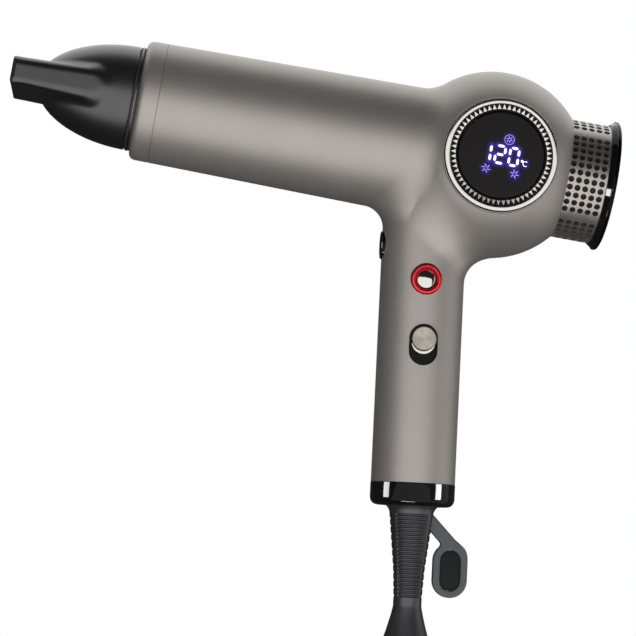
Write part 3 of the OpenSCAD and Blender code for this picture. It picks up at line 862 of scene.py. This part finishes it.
class DRYER_OT_nozzle(bpy.types.Operator):
    """Build the concentrator nozzle and its collar"""

    bl_idname = "dryer.nozzle"
    bl_label = "Nozzle"

    def execute(self, context):
        sizes = context.scene.dryer_sizes
        tip = NOZZLE_TIP - NOZZLE_BASE
        outer = blended(rough_nozzle(sizes, 0, tip), nozzle_field(sizes, 0, tip, 0), 0.8)
        inner = blended(rough_nozzle(sizes, NOZZLE_WALL, tip - 3),
                        nozzle_field(sizes, NOZZLE_WALL, tip - 3, -9), 0.9)
        socket = round_cutter(SOCKET_RADIUS, NOZZLE_BASE - 10, NOZZLE_BASE + 3,
                              Matrix.Identity(4))
        bm = carved(outer, [inner, socket])
        piece("concentrator_nozzle", bm, on_barrel(), "nozzle",
              "nozzle", ["nozzle"], crease=35)
        back, front = RING_FRONT, RING_FRONT - 2.5
        ring = turned([(18.8, front - 7), (20.2, front - 7), (20.2, front), (22.6, front),
                       (22.6, front + 0.85), (23.7, front + 0.85, 0.15), (23.7, back - 0.85, 0.15),
                       (22.6, back - 0.85), (22.6, back), (22.4, back), (22.4, back + 4.2),
                       (18.8, back + 4.2)], steps=128)
        piece("collar_ring", ring, on_barrel(), "nozzle_collar",
              "collar", ["nozzle_collar"])
        # Painted shade: two dark rings fill the grooves beside the collar's lip, where there is
        # only shade.
        bands = joined(*[turned([(22.6, z), (23.4, z, 0.1), (23.4, z + 0.76, 0.1),
                                 (22.6, z + 0.76)])
                         for z in (front + 0.04, back - 0.8)])
        piece("collar_painted_shade_bands", bands, on_barrel(), "nozzle_collar",
              "seal_and_painted_shade")
        return {"FINISHED"}


# ---------------------------------------------------------------- inlet

def perforated_quarter(pitch, hole, columns, rows, first):
    """A flat quarter of the sleeve: x is the way round and y the way along it."""
    bm = bmesh.new()
    for ring_radius in (hole / 2, 1.0):
        bmesh.ops.create_circle(bm, radius=ring_radius, segments=16)
    for vert in bm.verts:
        if abs(vert.co.length - 1.0) < 1e-4:
            vert.co *= pitch / 2 / max(abs(vert.co.x), abs(vert.co.y))
    bmesh.ops.bridge_loops(bm, edges=bm.edges[:])
    cell = bm.verts[:] + bm.edges[:] + bm.faces[:]
    centre = (rows - 1) / 2
    for row in range(rows):
        for column in range(columns):
            copy = verts_of(bmesh.ops.duplicate(bm, geom=cell)["geom"])
            bmesh.ops.translate(bm, verts=copy, vec=((row - centre) * pitch,
                                                     first + column * pitch, 0))
    bmesh.ops.delete(bm, geom=verts_of(cell), context="VERTS")
    bmesh.ops.remove_doubles(bm, verts=bm.verts, dist=1e-3)
    return bm


def drawn_out(bm, is_edge, steps, vec):
    """Extrudes the open edges whose ends pass the test, in steps of vec."""
    edges = [e for e in bm.edges if e.is_boundary and all(is_edge(v.co) for v in e.verts)]
    for _ in range(steps):
        new = bmesh.ops.extrude_edge_only(bm, edges=edges)["geom"]
        bmesh.ops.translate(bm, verts=verts_of(new), vec=vec)
        edges = [g for g in new if isinstance(g, bmesh.types.BMEdge)]


SLEEVE_RADIUS = 27.1
SLEEVE_START = 30.2
SLEEVE_WALL = 1.5


def perforated_tube(sizes):
    """The whole sleeve with its four fields of holes."""
    rows, columns, margin = 11, 5, 0.45
    radius = SLEEVE_RADIUS
    pitch = in_mm(sizes.hole_pitch)
    start = SLEEVE_END - margin - columns * pitch
    bm = perforated_quarter(pitch, in_mm(sizes.hole), columns, rows, start + pitch / 2)
    # The pitch is measured straight across; round the tube it is a little longer.
    stretch = math.asin(pitch / radius) * radius / pitch
    for vert in bm.verts:
        vert.co.x *= stretch
    half = rows * pitch / 2 * stretch
    band = 2 * math.pi * radius / 4 - 2 * half
    drawn_out(bm, lambda co: abs(co.x - half) < 1e-3, 4, (band / 4, 0, 0))
    drawn_out(bm, lambda co: abs(co.y - start) < 1e-3, 2, (0, (SLEEVE_START - start) / 2, 0))
    drawn_out(bm, lambda co: abs(co.y - start - columns * pitch) < 1e-3, 1, (0, margin, 0))
    for vert in bm.verts:
        angle = vert.co.x / radius
        vert.co = (radius * math.cos(angle), radius * math.sin(angle), vert.co.y)
    quarter = bm.verts[:] + bm.edges[:] + bm.faces[:]
    for i in (1, 2, 3):
        copy = verts_of(bmesh.ops.duplicate(bm, geom=quarter)["geom"])
        bmesh.ops.rotate(bm, verts=copy, cent=(0, 0, 0),
                         matrix=Matrix.Rotation(i * math.pi / 2, 3, "Z"))
    bmesh.ops.remove_doubles(bm, verts=bm.verts, dist=5e-3)
    outwards(bm)
    if bm.faces[0].normal.dot(bm.faces[0].calc_center_median() * Vector((1, 1, 0))) < 0:
        bmesh.ops.reverse_faces(bm, faces=bm.faces)
    bmesh.ops.solidify(bm, geom=bm.faces[:], thickness=SLEEVE_WALL)
    return bm


class DRYER_OT_inlet(bpy.types.Operator):
    """Build the perforated sleeve and its flared rim"""

    bl_idname = "dryer.inlet"
    bl_label = "Inlet"

    def execute(self, context):
        sizes = context.scene.dryer_sizes
        tube = perforated_tube(sizes)
        piece("perforated_sleeve", tube, on_barrel(), "inlet_filter",
              "sleeve", ["filter_sleeve"], crease=50)
        rim_r, sleeve_r, near, far = 29.6, SLEEVE_RADIUS, SLEEVE_END, RIM_END
        flare = [(sleeve_r, near), (sleeve_r + 0.55, near + 0.15, 0.1),
                 (rim_r - 0.55, near + 2.3, 0.25)]
        dish = [p for p in arc(0, far - 2 + 60, 60, -90 + 24, -90, 12) if p[0] < 21]
        rim = turned([(0, near + 0.05)] + flare + [
            (rim_r, near + 2.5, 0.3), (rim_r, far - 1.75), (rim_r - 0.35, far - 1.6),
            (rim_r - 0.35, far - 1.35), (rim_r, far - 1.2), (rim_r - 0.2, far - 0.5, 0.2),
            (rim_r - 1.3, far, 0.4), (24.5, far, 0.4), (22.5, far - 1.1, 0.3)]
            + [(r, z - 1.1) for r, z in dish], steps=160)
        piece("flared_rim", rim, on_barrel(), "inlet_filter",
              "gloss", ["filter_rim"], crease=45)
        return {"FINISHED"}


# ---------------------------------------------------------------- display

LENS_FACE = 36.1
STROKE_DEPTH = 0.03
# Centres, half widths and lit strokes of the three figures; strokes go clockwise from the top.
FIGURES = ((-4.93, 0.0, "bc"), (-0.62, 2.05, "abged"), (5.62, 1.97, "abcdef"))
FIGURE_HALF_HEIGHT = 3.85
FAN_MARKS = ((-5.84, -7.1, 2.0), (7.15, -7.4, 2.0), (2.42, 7.26, 1.55))


def figure_strokes():
    """The lit strokes of the figures and the unit's sign, as (start, end, width)."""
    half = FIGURE_HALF_HEIGHT
    gap, thick = 0.55, 1.1
    made = []
    for x, w, lit in FIGURES:
        spots = {"a": ((-w, half), (w, half)), "b": ((w, half), (w, 0)), "c": ((w, 0), (w, -half)),
                 "d": ((w, -half), (-w, -half)), "e": ((-w, -half), (-w, 0)),
                 "f": ((-w, 0), (-w, half)), "g": ((-w, 0), (w, 0))}
        for name in lit:
            a, b = (Vector((x + px, py)) for px, py in spots[name])
            way = (b - a).normalized() * gap
            made.append((a + way, b - way, thick))
    degree = ring_strokes(9.6, -1.2, 0.42, 0, 360, 0.3)
    return made + degree + ring_strokes(11.2, -2.2, 1.1, 50, 310, 0.38)


def on_circle(x, y, radius, turn):
    """The point of a circle of the display's plane at that angle."""
    return Vector((x + radius * math.cos(turn), y + radius * math.sin(turn)))


def ring_strokes(x, y, radius, start, end, width):
    """Short strokes round a circle, the angles in degrees."""
    count = max(8, int((end - start) / 24))
    ring = [on_circle(x, y, radius, math.radians(start + (end - start) * i / count))
            for i in range(count + 1)]
    return [(a, b, width) for a, b in zip(ring, ring[1:])]


def mark_strokes():
    """The strokes of the three fan marks."""
    made = ring_strokes(*FAN_MARKS[2][:2], 2.2, 0, 360, 0.24)
    for x, y, radius in FAN_MARKS:
        for i in range(6):
            a = math.radians(60 * i + 12)
            made.append((on_circle(x, y, 0.3 * radius, a),
                         on_circle(x, y, radius, a + math.radians(38)), 0.34))
    return made


def stroke_mesh(strokes):
    """Lit strokes as thin plates with pointed ends."""
    bm = bmesh.new()
    for a, b, width in strokes:
        way = (b - a).normalized()
        across = Vector((-way.y, way.x)) * width / 2
        tip = way * width * 0.45
        corners = [a - tip * 0.2, a + across + tip, b + across - tip, b + tip * 0.2,
                   b - across - tip, a - across + tip]
        bm.faces.new([bm.verts.new((p.x, p.y, LENS_FACE + 0.01)) for p in corners])
    top = verts_of(bmesh.ops.extrude_face_region(bm, geom=bm.faces[:])["geom"])
    bmesh.ops.translate(bm, verts=top, vec=(0, 0, STROKE_DEPTH))
    return outwards(bm)


def glow_at(points):
    """How brightly the halo shows at points of the display's plane: 1 on a stroke."""
    total = np.zeros(len(points))
    for a, b, width in figure_strokes() + mark_strokes():
        a, b = np.array(a), np.array(b)
        along = np.clip(((points - a) @ (b - a)) / max((b - a) @ (b - a), 1e-6), 0, 1)
        gap = np.linalg.norm(points - a - along[:, None] * (b - a), axis=1)
        total = np.maximum(total, np.exp(-(np.maximum(gap - width / 2, 0) / 0.8) ** 2)
                           * min(1, 0.2 + width * 0.75))
    return total


def window_mesh():
    """The smoked window, with points close enough together to carry the halo."""
    radius, rings = 19.2, 44
    flat = radius - 0.3
    face = [(flat - flat * i / rings, LENS_FACE) for i in range(1, rings)]
    return turned([(0, 34.3), (radius, 34.3), (radius, LENS_FACE - 0.35),
                   (radius - 0.12, LENS_FACE - 0.1), (flat, LENS_FACE)] + face
                  + [(0, LENS_FACE)], steps=128)


def grip_teeth(count):
    """Low three-sided teeth on the dial's band, points outwards and backs to the window."""
    bm = bmesh.new()
    for i in range(count):
        tooth = bmesh.ops.create_cone(bm, cap_ends=True, segments=3, radius1=1.2, radius2=1.05,
                                      depth=0.6)["verts"]
        bmesh.ops.scale(bm, verts=tooth, vec=(0.9, 1.35, 1))
        bmesh.ops.rotate(bm, verts=tooth, cent=(0, 0, 0),
                         matrix=Matrix.Rotation(math.radians(2), 3, "X"))
        bmesh.ops.translate(bm, verts=tooth, vec=(0, 21.2, 35.85))
        bmesh.ops.rotate(bm, verts=tooth, cent=(0, 0, 0),
                         matrix=Matrix.Rotation(2 * math.pi * i / count, 3, "Z"))
    return outwards(bm)


class DRYER_OT_display(bpy.types.Operator):
    """Build the display: its seat, dial ring, window and lit figures"""

    bl_idname = "dryer.display"
    bl_label = "Display"

    def execute(self, context):
        seat = turned([(0, 29), (25.5, 29), (25.5, 32.8), (25.95, 33.2), (25.95, 34.6, 0.25),
                       (25.6, 35.0, 0.15), (25.4, 34.8), (25.4, 31), (19.2, 31),
                       (19.2, 34.3), (17.5, 34.3), (17.5, 31), (0, 31)], steps=160)
        piece("display_seat", seat, on_display(), "dryer", "paint",
              ["display_bezel"])
        rim = turned([(22.7, 31.3), (25.1, 31.3), (25.1, 36.45, 0.25), (23.0, 36.45, 0.25),
                      (22.7, 35.8, 0.1)], steps=160)
        piece("dial_rim", rim, on_display(), "dial", "chrome",
              ["dial_ring"])
        band = turned([(19.5, 31.3), (22.85, 31.3), (22.85, 35.6), (19.9, 35.5),
                       (19.5, 35.9, 0.1)], steps=128)
        piece("dial_band", band, on_display(), "dial", "dial_black")
        piece("dial_teeth", grip_teeth(60), on_display(), "dial",
              "chrome", crease=5)
        window = window_mesh()
        points = np.array([v.co for v in window.verts])
        glow = glow_at(points[:, :2]) * (points[:, 2] > LENS_FACE - 0.01)
        made = piece("display_window", window, on_display(), "dryer",
                     "window", ["display_lens"], crease=60)
        layer = made.data.attributes.new("glow", "FLOAT", "POINT")
        layer.data.foreach_set("value", glow.astype(np.float32))
        piece("display_figures", stroke_mesh(figure_strokes()), on_display(), "dryer",
              "lamps")
        piece("display_marks", stroke_mesh(mark_strokes()), on_display(), "dryer",
              "dim_lamps")
        return {"FINISHED"}


# ---------------------------------------------------------------- controls

class DRYER_OT_buttons(bpy.types.Operator):
    """Build the speed button and the cool-shot button"""

    bl_idname = "dryer.buttons"
    bl_label = "Push buttons"

    def execute(self, context):
        ring = turned([(4.95, 15.4), (7.0, 15.4), (7.0, 18.9, 0.5), (6.3, 19.75, 0.5),
                       (5.6, 19.75, 0.4), (4.95, 19.1, 0.2)])
        piece("cool_shot_bezel", ring, on_face(COOL_DROP), "dryer", "red",
              ["cool_shot_ring"])
        dome = arc(0, 19.9 - 7.5, 7.5, 90 - 40, 90, 14)
        cap = turned([(0, 11.3), (1.4, 11.3), (1.4, 15), (4.87, 15), (4.87, 18.05, 0.05)]
                     + dome[:-1] + [(0, 19.9)])
        piece("cool_shot_button_cap", cap, on_face(COOL_DROP), "cool_shot_button",
              "chrome", ["cool_shot_cap"])
        bezel = turned([(5.4, 15.4), (6.45, 15.4), (6.45, 19.2, 0.3), (6.0, 19.75, 0.2),
                        (5.4, 19.4, 0.1)], steps=80)
        piece("speed_bezel", bezel, on_front(SPEED_DROP), "dryer",
              "gloss", ["speed_button_bezel"])
        dome = arc(0, 20.1 - 18, 18, 90 - 15, 90, 6)
        button = turned([(0, 11.3), (1.4, 11.3), (1.4, 15), (5.32, 15), (5.32, 18.9, 0.3)]
                        + dome[:-1] + [(0, 20.1)], steps=80)
        piece("speed_button_cap", button, on_front(SPEED_DROP), "speed_button",
              "gloss", ["speed_button"])
        return {"FINISHED"}


def polar_map(bm, axis_from):
    """Writes the UV map of a turned face: turn in U, radius in V."""
    layer = bm.loops.layers.uv.new("turning")
    for face in bm.faces:
        middle = face.calc_center_median()
        home = math.atan2(middle.y, middle.x)
        for loop in face.loops:
            x, y = loop.vert.co.x, loop.vert.co.y
            turn = math.atan2(y, x) if math.hypot(x, y) > axis_from else home
            turn += 2 * math.pi * round((home - turn) / (2 * math.pi))
            loop[layer].uv = (turn / (2 * math.pi) + 0.5, math.hypot(x, y) / 6)


class DRYER_OT_slide_switch(bpy.types.Operator):
    """Build the slide switch: its tray and its disc-shaped knob"""

    bl_idname = "dryer.slide_switch"
    bl_label = "Slide switch"

    def execute(self, context):
        tray = carved(prism(18.4, 12.7, 14.4, 19.35), [prism(17.5, 11.8, 16.2, 22)])
        rim = [e for e in tray.edges if all(abs(v.co.z - 19.35) < 1e-3 for v in e.verts)
               and len(e.link_faces) == 2 and e.calc_face_angle(0) > 1]
        bevel(tray, rim, 0.14, 2)
        piece("switch_tray", tray, on_face(SLOT_DROP), "dryer", "gloss",
              ["switch_frame"])
        face = [(5.1 * (1 - i / 8), 20.2 - 0.12 * (i / 8)) for i in range(8)]
        knob = turned([(0, 12.2), (1.6, 12.2), (1.6, 16.8), (5.45, 16.8, 0.1), (5.45, 17.4),
                       (5.6, 17.5), (5.6, 19.75)] + face + [(0, 20.08)])
        polar_map(knob, 1e-4)
        piece("switch_disc", knob, on_face(KNOB_DROP), "slide_switch",
              "knob", ["switch_knob"], crease=20)
        ledge = turned([(0, 16.8), (5.5, 16.8), (5.5, 18.4, 0.35), (5.0, 18.4), (5.0, 18.0),
                        (0, 18.0)])
        bmesh.ops.translate(ledge, vec=(0, -LEDGE, 0), verts=ledge.verts)
        piece("switch_ledge", ledge, on_face(KNOB_DROP), "slide_switch",
              "chrome")
        return {"FINISHED"}


# ---------------------------------------------------------------- lower end

COLLAR_TOP = 150
BOOT_TOP = 160.3
BOOT_LEN = 64.7
TAB_X, TAB_Z = -18.4, BOOT_TOP + 28.1


# The boot flares at the collar, tapers in two stretches to its neck and opens into a bell.
FLARE_END, TAPER_END, BELL_START = 3.6, 28.7, 44.7
FLARE_RADIUS, TAPER_RADIUS, NECK_RADIUS = 9.9, 7.1, 6.4


def boot_radius(s):
    """Radius of the boot s mm below the collar."""
    if s < FLARE_END:
        return FLARE_RADIUS + 1.9 * (1 - s / FLARE_END) ** 2
    if s < TAPER_END:
        return FLARE_RADIUS - (s - FLARE_END) * 2.8 / 25.1
    if s < BELL_START:
        return max(NECK_RADIUS, TAPER_RADIUS - (s - TAPER_END) * 0.7 / 12.4)
    return NECK_RADIUS + 5.6 * ((s - BELL_START) / (BOOT_LEN - BELL_START)) ** 1.2


def boot_mesh():
    """The strain relief: ribbed on its faces and notched at its edges, then a smooth bell."""
    pitch, grooves, first, width, lip = 1.72, 22, 4.2, 0.8, 0.3
    face_depth, edge_depth = 0.6, 0.32
    cuts = [first + i * pitch for i in range(grooves)]
    stations = [0, 0.6, 1.2, 1.8, 2.6, 3.4]
    for s in cuts:
        stations += [s - width / 2 - lip, s - width / 2 + lip, s + width / 2 - lip,
                     s + width / 2 + lip]
    stations += [43 + (BOOT_LEN - 0.8 - 43) * i / 26 for i in range(27)]
    outside = [(boot_radius(s), BOOT_TOP + s) for s in stations]
    end = BOOT_TOP + BOOT_LEN
    bm = turned([(4, BOOT_TOP - 6), (9.8, BOOT_TOP - 6), (9.8, BOOT_TOP - 0.1)] + outside
                + [(boot_radius(BOOT_LEN) - 0.1, end - 0.25), (boot_radius(BOOT_LEN) - 0.6, end),
                   (4.6, end), (4, end - 0.5)])
    for vert in bm.verts:
        radius = math.hypot(vert.co.x, vert.co.y)
        s = vert.co.z - BOOT_TOP
        if radius < 5.5 or not first - 1 < s < first + grooves * pitch:
            continue
        index = int(round((s - first) / pitch))
        if index >= grooves or abs(s - cuts[index]) > width / 2:
            continue
        turn = abs(math.degrees(math.atan2(vert.co.x, abs(vert.co.y))))
        face = min(1, max(0, (52 - turn) / 5))
        edge = min(1, max(0, (turn - 66) / 4)) * (index % 2)
        depth = face_depth * face + edge_depth * edge
        vert.co.x *= (radius - depth) / radius
        vert.co.y *= (radius - depth) / radius
    return bm


def tab_field(points):
    """Distance to the hang tab, in the handle's place: a loop on a strap, 5.4 mm thick."""
    x, y, z = points.T
    from_slot = np.hypot(x - TAB_X, np.maximum(np.abs(z - TAB_Z) - 4.5, 0))
    loop, window = from_slot - 7.8, from_slot - 4.55
    start, end = np.array((-8.0, BOOT_TOP + 5.8)), np.array((-21.9, BOOT_TOP + 20.2))
    way = end - start
    flat = np.stack([x, z], 1)
    share = np.clip(((flat - start) @ way) / (way @ way), 0, 1)
    strap = np.linalg.norm(flat - start - share[:, None] * way, axis=1) - 2.9
    outline = np.maximum(filleted(loop, strap, 2.0), -window)
    return rounded_meet(outline, np.abs(y) - 2.7, 0.6)


def in_tab():
    """Stands a prism upright in the middle of the hang tab, in the handle's place."""
    return Matrix.Translation((TAB_X, 0, TAB_Z)) @ Matrix.Rotation(math.pi / 2, 4, "X")


def tab_mesh():
    """The hang tab, cut to the boot's round side."""
    loop = carved(moved(prism(24.6, 15.6, -2.6, 2.6), in_tab()),
                  [moved(prism(18.4, 9.4, -4, 4), in_tab())])
    lean = Matrix.Rotation(math.radians(-44), 4, "Y") @ Matrix.Rotation(math.pi / 2, 4, "X")
    strap = moved(prism(25, 5.8, -2.6, 2.6), Matrix.Translation((-15, 0, BOOT_TOP + 13)) @ lean)
    bm = blended(joined(loop, strap), tab_field, 0.5)
    side = [(boot_radius(s) - 0.25, BOOT_TOP + s) for s in (3.6, 8, 14, 20, 26)]
    plug = turned([(0, BOOT_TOP + 3.6)] + side + [(0, BOOT_TOP + 26)], steps=64)
    return carved(bm, [plug])


class DRYER_OT_lower_end(bpy.types.Operator):
    """Build the glossy collar, the strain relief and the hang tab"""

    bl_idname = "dryer.lower_end"
    bl_label = "Lower end"

    def execute(self, context):
        collar = turned([(14.5, COLLAR_TOP - 4), (16.7, COLLAR_TOP - 4), (16.7, COLLAR_TOP + 0.1),
                         (19.1, COLLAR_TOP + 0.12, 0.2), (19.1, BOOT_TOP, 3.4),
                         (12.2, BOOT_TOP, 0.4), (12.0, BOOT_TOP - 2.8), (14.5, BOOT_TOP - 2.8)],
                        steps=160)
        piece("gloss_collar", collar, on_handle(), "dryer", "gloss",
              ["handle_collar"])
        piece("ribbed_boot", boot_mesh(), on_handle(), "dryer",
              "boot", ["strain_relief"], crease=30)
        piece("hang_loop", tab_mesh(), on_handle(), "dryer", "tab",
              ["hang_tab"], crease=40)
        pad = prism(18.0, 9.0, -1.9, 1.9)
        rims = [e for e in pad.edges if abs(e.verts[0].co.z - e.verts[1].co.z) < 1e-4]
        bevel(pad, rims, 0.35, 3)
        piece("hang_loop_pad", moved(pad, in_tab()), on_handle(), "dryer",
              "insert", ["hang_tab_insert"])
        return {"FINISHED"}


# ---------------------------------------------------------------- inner parts

CAD_FINISHES = {
    "moulded_black": ("outlet_grille", "fan_duct", "inlet_seat", "cord_clamp"),
    "seal_and_painted_shade": ("duct_seals",),
    "mica": ("heat_shield", "heater_frame"),
    "heater": ("heater_coils",),
    "brass": ("thermostat", "thermal_fuse", "impeller_nut"),
    "motor": ("motor_case",),
    "copper": ("motor_stator",),
    "steel": ("motor_bearings", "motor_shaft", "inlet_screws", "clamp_screws", "ion_needles",
              "speed_button_spring", "cool_shot_spring"),
    "magnet": ("rotor_magnet", "inlet_magnets", "nozzle_magnets"),
    "fan": ("impeller",),
    "board": ("control_board", "display_board"),
    "switch_body": ("speed_button_switch", "cool_shot_switch", "switch_module"),
    "potting": ("ion_generator",),
    "wire": ("power_wires",),
    "terminal": ("terminal_block",),
    "gauze": ("filter_mesh",),
}


class DRYER_OT_inner_parts(bpy.types.Operator):
    """Give every part kept from the frame its real finish"""

    bl_idname = "dryer.inner_parts"
    bl_label = "Inner parts"

    def execute(self, context):
        for kind, names in CAD_FINISHES.items():
            for name in names:
                thing = frame["nodes"][name]
                thing.data.materials.clear()
                thing.data.materials.append(finish_of(kind))
        return {"FINISHED"}


# ---------------------------------------------------------------- stage

def way_back(azimuth, elevation):
    """The direction from the object towards a viewer at those angles."""
    flat = math.cos(elevation)
    return Vector((math.sin(azimuth) * flat, -math.cos(azimuth) * flat, math.sin(elevation)))


GLOSSY = ("gloss_collar", "speed_bezel", "speed_button_cap")
# Name, azimuth and elevation in degrees, distance, width and height in metres, brightness, and
# the pieces that the lamp lights; with none it lights all but the floor.
LAMPS = (
    ("front_box", -4, -26, 1.2, 3.0, 2.0, 1.7, ()),
    ("left_panel", -88, -4, 1.2, 0.7, 1.4, 0.12, ()),
    ("right_panel", 84, -4, 1.2, 1.1, 1.4, 0.95, ()),
    ("back_box", 180, 54, 1.2, 2.4, 1.4, 1.7, ()),
    ("floor_light", 0, 90, 1.8, 6.0, 6.0, 1.2, ("floor",)),
    ("knob_light", 30, 35, 1.15, 0.12, 0.5, 9, ("switch_disc",)),
    ("left_strip", -81, -7, 1.15, 0.38, 0.6, 80, GLOSSY),
    ("rim_light", -56, -8, 1.15, 0.4, 0.2, 110, ("flared_rim",)),
    ("rim_low_light", -56, -46, 1.15, 0.4, 0.2, 110, ("flared_rim",)),
    ("right_strip", 70, 9, 1.15, 0.36, 0.8, 110, GLOSSY),
    ("low_strip", -6, -66, 1.2, 0.6, 0.06, 150, GLOSSY),
)


def soft_box(name, aim, azimuth, elevation, distance, width, height, brightness, only=(),
             never=()):
    """An area lamp that faces the aim point from that side; the camera doesn't see it. With
    only it lights just those pieces, and with never all but those, like a flagged lamp."""
    data = bpy.data.lights.new(name, "AREA")
    data.shape = "RECTANGLE"
    data.size, data.size_y = width, height
    data.energy = brightness * math.pi * width * height
    lamp = bpy.data.objects.new(name, data)
    bpy.context.scene.collection.objects.link(lamp)
    back = way_back(math.radians(azimuth), math.radians(elevation))
    lamp.matrix_world = (Matrix.Translation(aim + back * distance)
                         @ back.to_track_quat("Z", "Y").to_matrix().to_4x4())
    lamp.visible_camera = False
    group = bpy.data.collections.new(name + "_lights")
    for thing in only or never:
        group.objects.link(thing)
    for entry in group.collection_objects:
        entry.light_linking.link_state = "INCLUDE" if only else "EXCLUDE"
    lamp.light_linking.receiver_collection = group


def studio_world():
    """Dim surroundings for the reflections, and a white backdrop behind the object."""
    world = bpy.data.worlds.new("studio")
    bpy.context.scene.world = world
    world.use_nodes = True
    tree = world.node_tree
    tree.nodes.clear()
    dim = add(tree, "ShaderNodeBackground", values={"Color": (1, 1, 1, 1), "Strength": 0.03})
    white = add(tree, "ShaderNodeBackground", values={"Color": (1, 1, 1, 1), "Strength": 1.0})
    seen = add(tree, "ShaderNodeLightPath")
    mix = add(tree, "ShaderNodeMixShader", links={0: seen.outputs["Is Camera Ray"],
                                                  1: dim.outputs[0], 2: white.outputs[0]})
    add(tree, "ShaderNodeOutputWorld", links={"Surface": mix.outputs[0]})


class DRYER_OT_stage(bpy.types.Operator):
    """Set up the floor, the lamps and the camera"""

    bl_idname = "dryer.stage"
    bl_label = "Stage"

    def execute(self, context):
        studio = context.scene.dryer_studio
        back = way_back(studio.azimuth, studio.elevation)
        right = Vector((math.cos(studio.azimuth), math.sin(studio.azimuth), 0))
        side = right * math.cos(studio.roll) + back.cross(right) * math.sin(studio.roll)
        aim = BULB + Vector((studio.aim_back, 0, studio.aim_up))
        data = bpy.data.cameras.new("camera")
        data.lens = studio.lens
        data.sensor_width = 36
        data.clip_end = 50
        camera = bpy.data.objects.new("camera", data)
        context.scene.collection.objects.link(camera)
        turn = Matrix((side, back.cross(side), back)).transposed().to_4x4()
        camera.matrix_world = Matrix.Translation(aim + back * studio.distance) @ turn
        context.scene.camera = camera
        floor = bmesh.new()
        bmesh.ops.create_circle(floor, cap_ends=True, radius=2.0, segments=96)
        bmesh.ops.translate(floor, vec=(0, 0, CAD_BOX[0].z - 0.16), verts=floor.verts)
        ground = as_object(floor, "floor")
        ground.data.materials.append(solid("pale_studio_floor", "#e6e5e2", 0.8, grain=4,
                                           height=0.02, spread=0.01, patch=60))
        for ray in ("visible_shadow", "visible_glossy", "visible_diffuse"):
            setattr(ground, ray, False)
        studio_world()
        for name, azimuth, elevation, distance, width, height, brightness, lit in LAMPS:
            soft_box(name, aim, azimuth, elevation, distance, width, height,
                     brightness * studio.light, [bpy.data.objects[thing] for thing in lit],
                     [ground])
        context.scene.view_settings.view_transform = "Standard"
        return {"FINISHED"}


# ---------------------------------------------------------------- add-on

OPERATORS = (DRYER_OT_housing, DRYER_OT_nozzle, DRYER_OT_inlet, DRYER_OT_display,
             DRYER_OT_buttons, DRYER_OT_slide_switch, DRYER_OT_lower_end,
             DRYER_OT_inner_parts, DRYER_OT_stage)


class DRYER_PT_panel(bpy.types.Panel):
    """The dryer's operators and values"""

    bl_idname = "DRYER_PT_panel"
    bl_label = "Hair dryer"
    bl_space_type = "VIEW_3D"
    bl_region_type = "UI"
    bl_category = "Hair dryer"

    def draw(self, context):
        for operator in OPERATORS:
            self.layout.operator(operator.bl_idname)
        for group in (context.scene.dryer_sizes, context.scene.dryer_colours,
                      context.scene.dryer_studio):
            box = self.layout.box()
            for name in group.__annotations__:
                box.prop(group, name)


GROUPS = {"dryer_sizes": DryerSizes, "dryer_colours": DryerColours, "dryer_studio": DryerStudio}


def register():
    for group in GROUPS.values():
        bpy.utils.register_class(group)
    for operator in OPERATORS:
        bpy.utils.register_class(operator)
    bpy.utils.register_class(DRYER_PT_panel)
    for name, group in GROUPS.items():
        setattr(bpy.types.Scene, name, bpy.props.PointerProperty(type=group))


def unregister():
    for name in GROUPS:
        delattr(bpy.types.Scene, name)
    bpy.utils.unregister_class(DRYER_PT_panel)
    for operator in reversed(OPERATORS):
        bpy.utils.unregister_class(operator)
    for group in GROUPS.values():
        bpy.utils.unregister_class(group)


def main():
    register()
    for operator in OPERATORS:
        group, name = operator.bl_idname.split(".")
        getattr(getattr(bpy.ops, group), name)()


if __name__ == "__main__":
    main()
